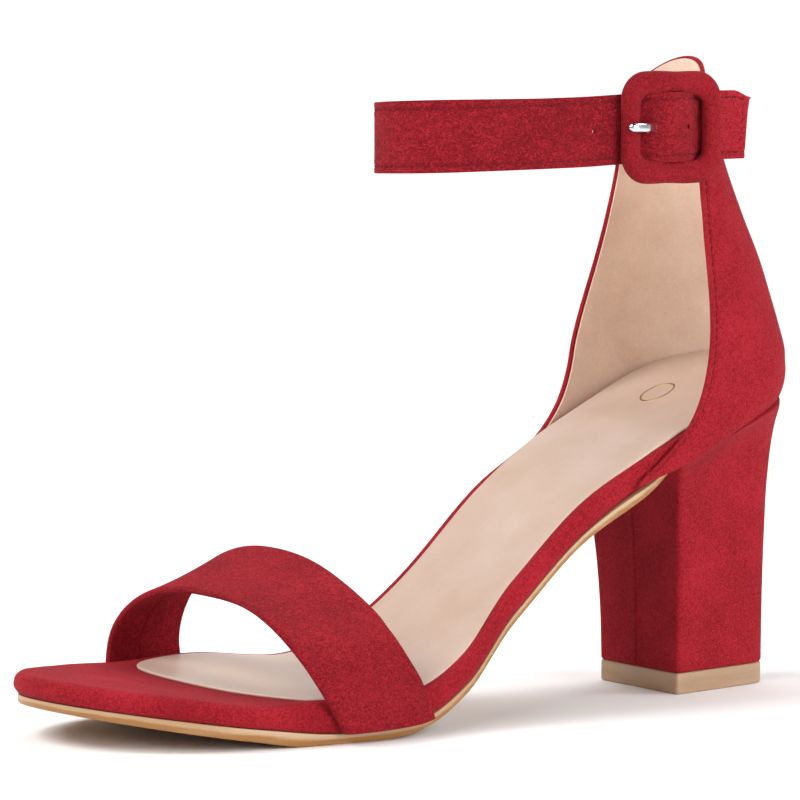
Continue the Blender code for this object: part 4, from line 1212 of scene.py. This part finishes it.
def swept(name, path, side, up, half_side, half_up, mats, power=2.0, sides=20):
    """A section carried along a path, with its two half sizes along two directions.

    The section is a superellipse: the cosine and sine to the power 2 / power."""
    a = around(sides)
    cx = powered(np.cos(a), 2 / power)
    cy = powered(np.sin(a), 2 / power)
    side = side * (np.asarray(half_side) * np.ones(len(path)))[:, None]
    up = up * (np.asarray(half_up) * np.ones(len(path)))[:, None]
    body = path[:, None] + side[:, None] * cx[None, :, None] + up[:, None] * cy[None, :, None]
    ends = [path[:1].repeat(sides, 0)[None], body, path[-1:].repeat(sides, 0)[None]]
    points = np.concatenate(ends)
    return piece(name, points, quads(len(points), sides, wrap_columns=True), mats)


bar_z = np.concatenate([[-11.9], np.linspace(-11.7, 11.7, 12), [11.9]]) + BUCKLE_Z
bar_path = np.column_stack([np.full(14, BUCKLE_X), np.full(14, BAR_Y), bar_z])
bar_half = BAR_RADIUS * np.concatenate([[0.85], np.ones(12), [0.85]])
bar = swept("buckle_centre_bar", bar_path, np.tile([1.0, 0, 0], (14, 1)), np.tile([0, 1.0, 0], (14, 1)),
            bar_half, bar_half, [nickel])
dress(bar, "buckle_frame")

# %% [markdown]
# ## Prong and chape
# The prong is a stamped steel strip: curled round the bar, flat where it passes through the
# strap's hole, and half-round where it lies over the frame. The chape is the folded suede
# tab that holds the bar on the counter.
# %% Prong and chape
LOOP_THICK = 0.65
PRONG_HEIGHT = 2.4


def arc(centre, radius, start, stop, count):
    turn = np.radians(np.linspace(start, stop, count))
    return np.column_stack([centre[0] + radius * np.cos(turn), centre[1] + radius * np.sin(turn)])


def even_line(line, count):
    """A smooth open line through these points at even distances, by the cubic above."""
    run = distance_along(line)
    table = np.column_stack([run, line])
    at = np.linspace(0, run[-1], count)
    columns = [through(at, table, c, rests=False) for c in range(1, line.shape[1] + 1)]
    return np.column_stack(columns), at / run[-1]


curl = arc((BUCKLE_X, BAR_Y), BAR_RADIUS + GAP + LOOP_THICK / 2, 200, -90, 14)
shank = np.array([(-29.0, -24.75), (-31.6, -25.2), (-34.0, -26.6), (-36.0, -27.75), (-38.4, -28.05),
                  (-40.2, -27.95), (-41.6, -27.5)])
prong_xy, prong_share = even_line(np.vstack([curl, shank]), 110)
prong_path = np.column_stack([prong_xy, np.full(110, BUCKLE_Z)])
ahead = unit(np.gradient(prong_path, axis=0))
prong_side = unit(np.column_stack([-ahead[:, 1], ahead[:, 0], ahead[:, 0] * 0]))
prong_thick = LOOP_THICK / 2 + (0.62 - LOOP_THICK / 2) * step_up(prong_share, 0.38, 0.52)
tip = 1 - step_up(prong_share, 0.955, 1.005)
narrow = 1 - 0.12 * step_up(prong_share, 0.5, 0.95)
prong_half = 1.08 * (PRONG_HEIGHT / 2) * (0.35 + 0.65 * tip) * narrow
prong = swept("buckle_prong_nickel", prong_path, prong_side, np.tile([0, 0, 1.0], (110, 1)),
              prong_thick * (0.35 + 0.65 * tip), prong_half, [nickel], power=2.6, sides=24)
dress(prong, "buckle_prong")

fold = arc((BUCKLE_X, BAR_Y), BAR_RADIUS + GAP + LOOP_THICK / 2, 80, 290, 12)
inner_ply = np.array([(-3.0, -19.0), (-8.0, -19.55), (-12.0, -19.9), (-17.0, -20.2), (-22.0, -20.7)])
outer_ply = np.array([(-22.0, -22.6), (-17.5, -21.1), (-12.0, -20.75), (-8.0, -20.4), (-3.0, -19.85)])
chape_xy, _ = even_line(np.vstack([inner_ply, fold, outer_ply]), 120)
chape_v = np.linspace(-6.5, 6.5, 27)
chape_grid = np.dstack([np.repeat(chape_xy[:, None, :], 27, axis=1),
                        np.repeat((BUCKLE_Z + chape_v)[None, :, None], 120, axis=0)])
faces = np.array(quads(120, 27))
by_bar = np.hypot(chape_xy[:, 0] - BUCKLE_X, chape_xy[:, 1] - BAR_Y) < 3.2
notch = by_bar[faces[:, 0] // 27] & (np.abs(chape_v[faces[:, 0] % 27] + 0.25) < 1.7)
chape = piece("folded_suede_chape", chape_grid, faces[~notch].tolist(), [suede_plain])
solid = chape.modifiers.new("ply", "SOLIDIFY")
solid.thickness = LOOP_THICK * MM
solid.offset = 0.0
turn_edges(chape, 0.15, 2)
apply_all(chape)
dress(chape, "buckle_chape")

# %% [markdown]
# ## Holes in the strap
# The holes are punched through suede and lining. A small cutter makes each one, and the slot
# beside the prong is the same cut drawn long. The cut is a Boolean, because a hole through
# two walls has no simple grid of its own.
# %% Punched holes
def cut_with(thing, cutters):
    for cutter in cutters:
        hole = thing.modifiers.new("hole", "BOOLEAN")
        hole.operation = "DIFFERENCE"
        hole.object = cutter
        hole.solver = "EXACT"
    apply_all(thing)


def punch(x, radius, stretch=1.0):
    """A round punch through the outer side of the strap at this x."""
    at = strap_table[strap_table[:, 2] < 0]
    order = np.argsort(at[:, 1])
    y = np.interp(x, at[order, 1], at[order, 2])
    z = np.interp(x, at[order, 1], at[order, 3])
    path = np.array([[x, y - 2.0, z], [x, y - 1.9, z], [x, y + 2.6, z], [x, y + 2.7, z]])
    along, up = np.tile([1.0, 0, 0], (4, 1)), np.tile([0, 0, 1.0], (4, 1))
    return swept("punch", path, along, up, radius * stretch, radius, [suede_plain])


# two free holes, then the slot beside the prong: x, radius, stretch along x
PUNCHES = ((-49.0, 0.62, 1.0), (-21.0, 0.62, 1.0), (-33.0, 1.25, 1.15))
punches = [punch(*row) for row in PUNCHES]
cut_with(counter_piece, punches)
cut_with(strap_lining, punches)
for tool in punches:
    bpy.data.objects.remove(tool)

# %% [markdown]
# ## Foil ring
# A plain oval band of foil is pressed hot on the heel of the sock. It stands 0.05 mm proud,
# so it is a thin closed band of its own, laid on the sock's curve.
# %% Foil ring
FOIL_MIDDLE = (-8.7, 3.2)
FOIL_HALF = (4.6, 4.9)
FOIL_WIDTH = 0.45
FOIL_PROUD = 0.05
a = around(96)
foil_lines = []
for inset, lift in ((0.0, -FOIL_PROUD), (0.0, FOIL_PROUD),
                    (FOIL_WIDTH, FOIL_PROUD), (FOIL_WIDTH, -FOIL_PROUD)):
    foil_x = FOIL_MIDDLE[0] + (FOIL_HALF[0] - inset) * np.cos(a)
    foil_y = FOIL_MIDDLE[1] + (FOIL_HALF[1] - inset) * np.sin(a)
    foil_lines.append(np.column_stack([foil_x, foil_y, footbed_z(foil_x, foil_y) + SOCK_TOP + lift]))
ring = piece("foil_ring", np.array(foil_lines), quads(4, 96, True, True), [foil])
dress(ring, None)

# %% [markdown]
# ## Floor and light
# The sandal stands on a plain pale floor that curves up far behind it, so no horizon shows.
# A low soft box in front lights the outer side, two on the left, one of them high and
# behind, light the toe, the footbed and the lining, a high one on the right models the heel,
# and the last whitens the paper behind. The strengths were found by rendering each light
# alone and fitting their sum to the photograph's tones, and the last one was then raised
# until the paper was white.
# %% Floor
FLOOR_MIDDLE_X = -80
FLOOR_FLAT = 1.6    # metres from the middle to where the paper starts to rise
FLOOR_BEND = 1.0    # radius of its rise, in metres
a = around(96)
bend = np.linspace(0, math.pi / 2, 12)[1:]
radii = np.concatenate([np.linspace(0, FLOOR_FLAT, 9), FLOOR_FLAT + FLOOR_BEND * np.sin(bend)])
heights = np.concatenate([np.zeros(9), FLOOR_BEND - FLOOR_BEND * np.cos(bend)])
dish = np.stack([FLOOR_MIDDLE_X + radii[:, None] * 1000 * np.cos(a), radii[:, None] * 1000 * np.sin(a),
                 heights[:, None] * 1000 * np.ones(96)], axis=-1)
floor = piece("floor", dish, quads(len(radii), 96, wrap_columns=True), [paper], closed=False)


# %% Lights
def area_light(name, place, aim, size, power, colour="#FFFFFF"):
    """A square soft light at a place in metres, turned to its aim."""
    lamp = bpy.data.lights.new(name, "AREA")
    lamp.size = size
    lamp.energy = power
    lamp.color = linear(colour)[:3]
    thing = bpy.data.objects.new(name, lamp)
    scene_home.objects.link(thing)
    thing.location = place
    gaze = np.array(aim) - np.array(place)
    flat = math.hypot(gaze[0], gaze[1])
    thing.rotation_euler = (math.pi / 2 + math.atan2(gaze[2], flat), 0.0,
                            math.atan2(gaze[1], gaze[0]) - math.pi / 2)
    return thing


area_light("low_front", (0.25, -1.3, 0.35), (-0.05, 0, 0.08), 0.6, 11.8)
area_light("left_soft", (-1.3, -0.5, 0.9), (-0.08, 0, 0.05), 0.8, 10.0)
area_light("right_high", (0.9, -0.85, 1.2), (-0.06, 0, 0.06), 0.6, 10.0)
area_light("top_left", (-0.95, 0.4, 1.1), (-0.12, 0, 0.05), 0.8, 17.0)
area_light("backdrop", (0.7, 0.9, 1.5), (1.0, 1.5, 0.0), 1.6, 25.0)
world = bpy.data.worlds.new("pale_sky")
world.use_nodes = True
world.node_tree.nodes["Background"].inputs["Color"].default_value = linear("#FFFFFF")
world.node_tree.nodes["Background"].inputs["Strength"].default_value = 0.02
bpy.context.scene.world = world
bpy.context.scene.view_settings.view_transform = "Standard"
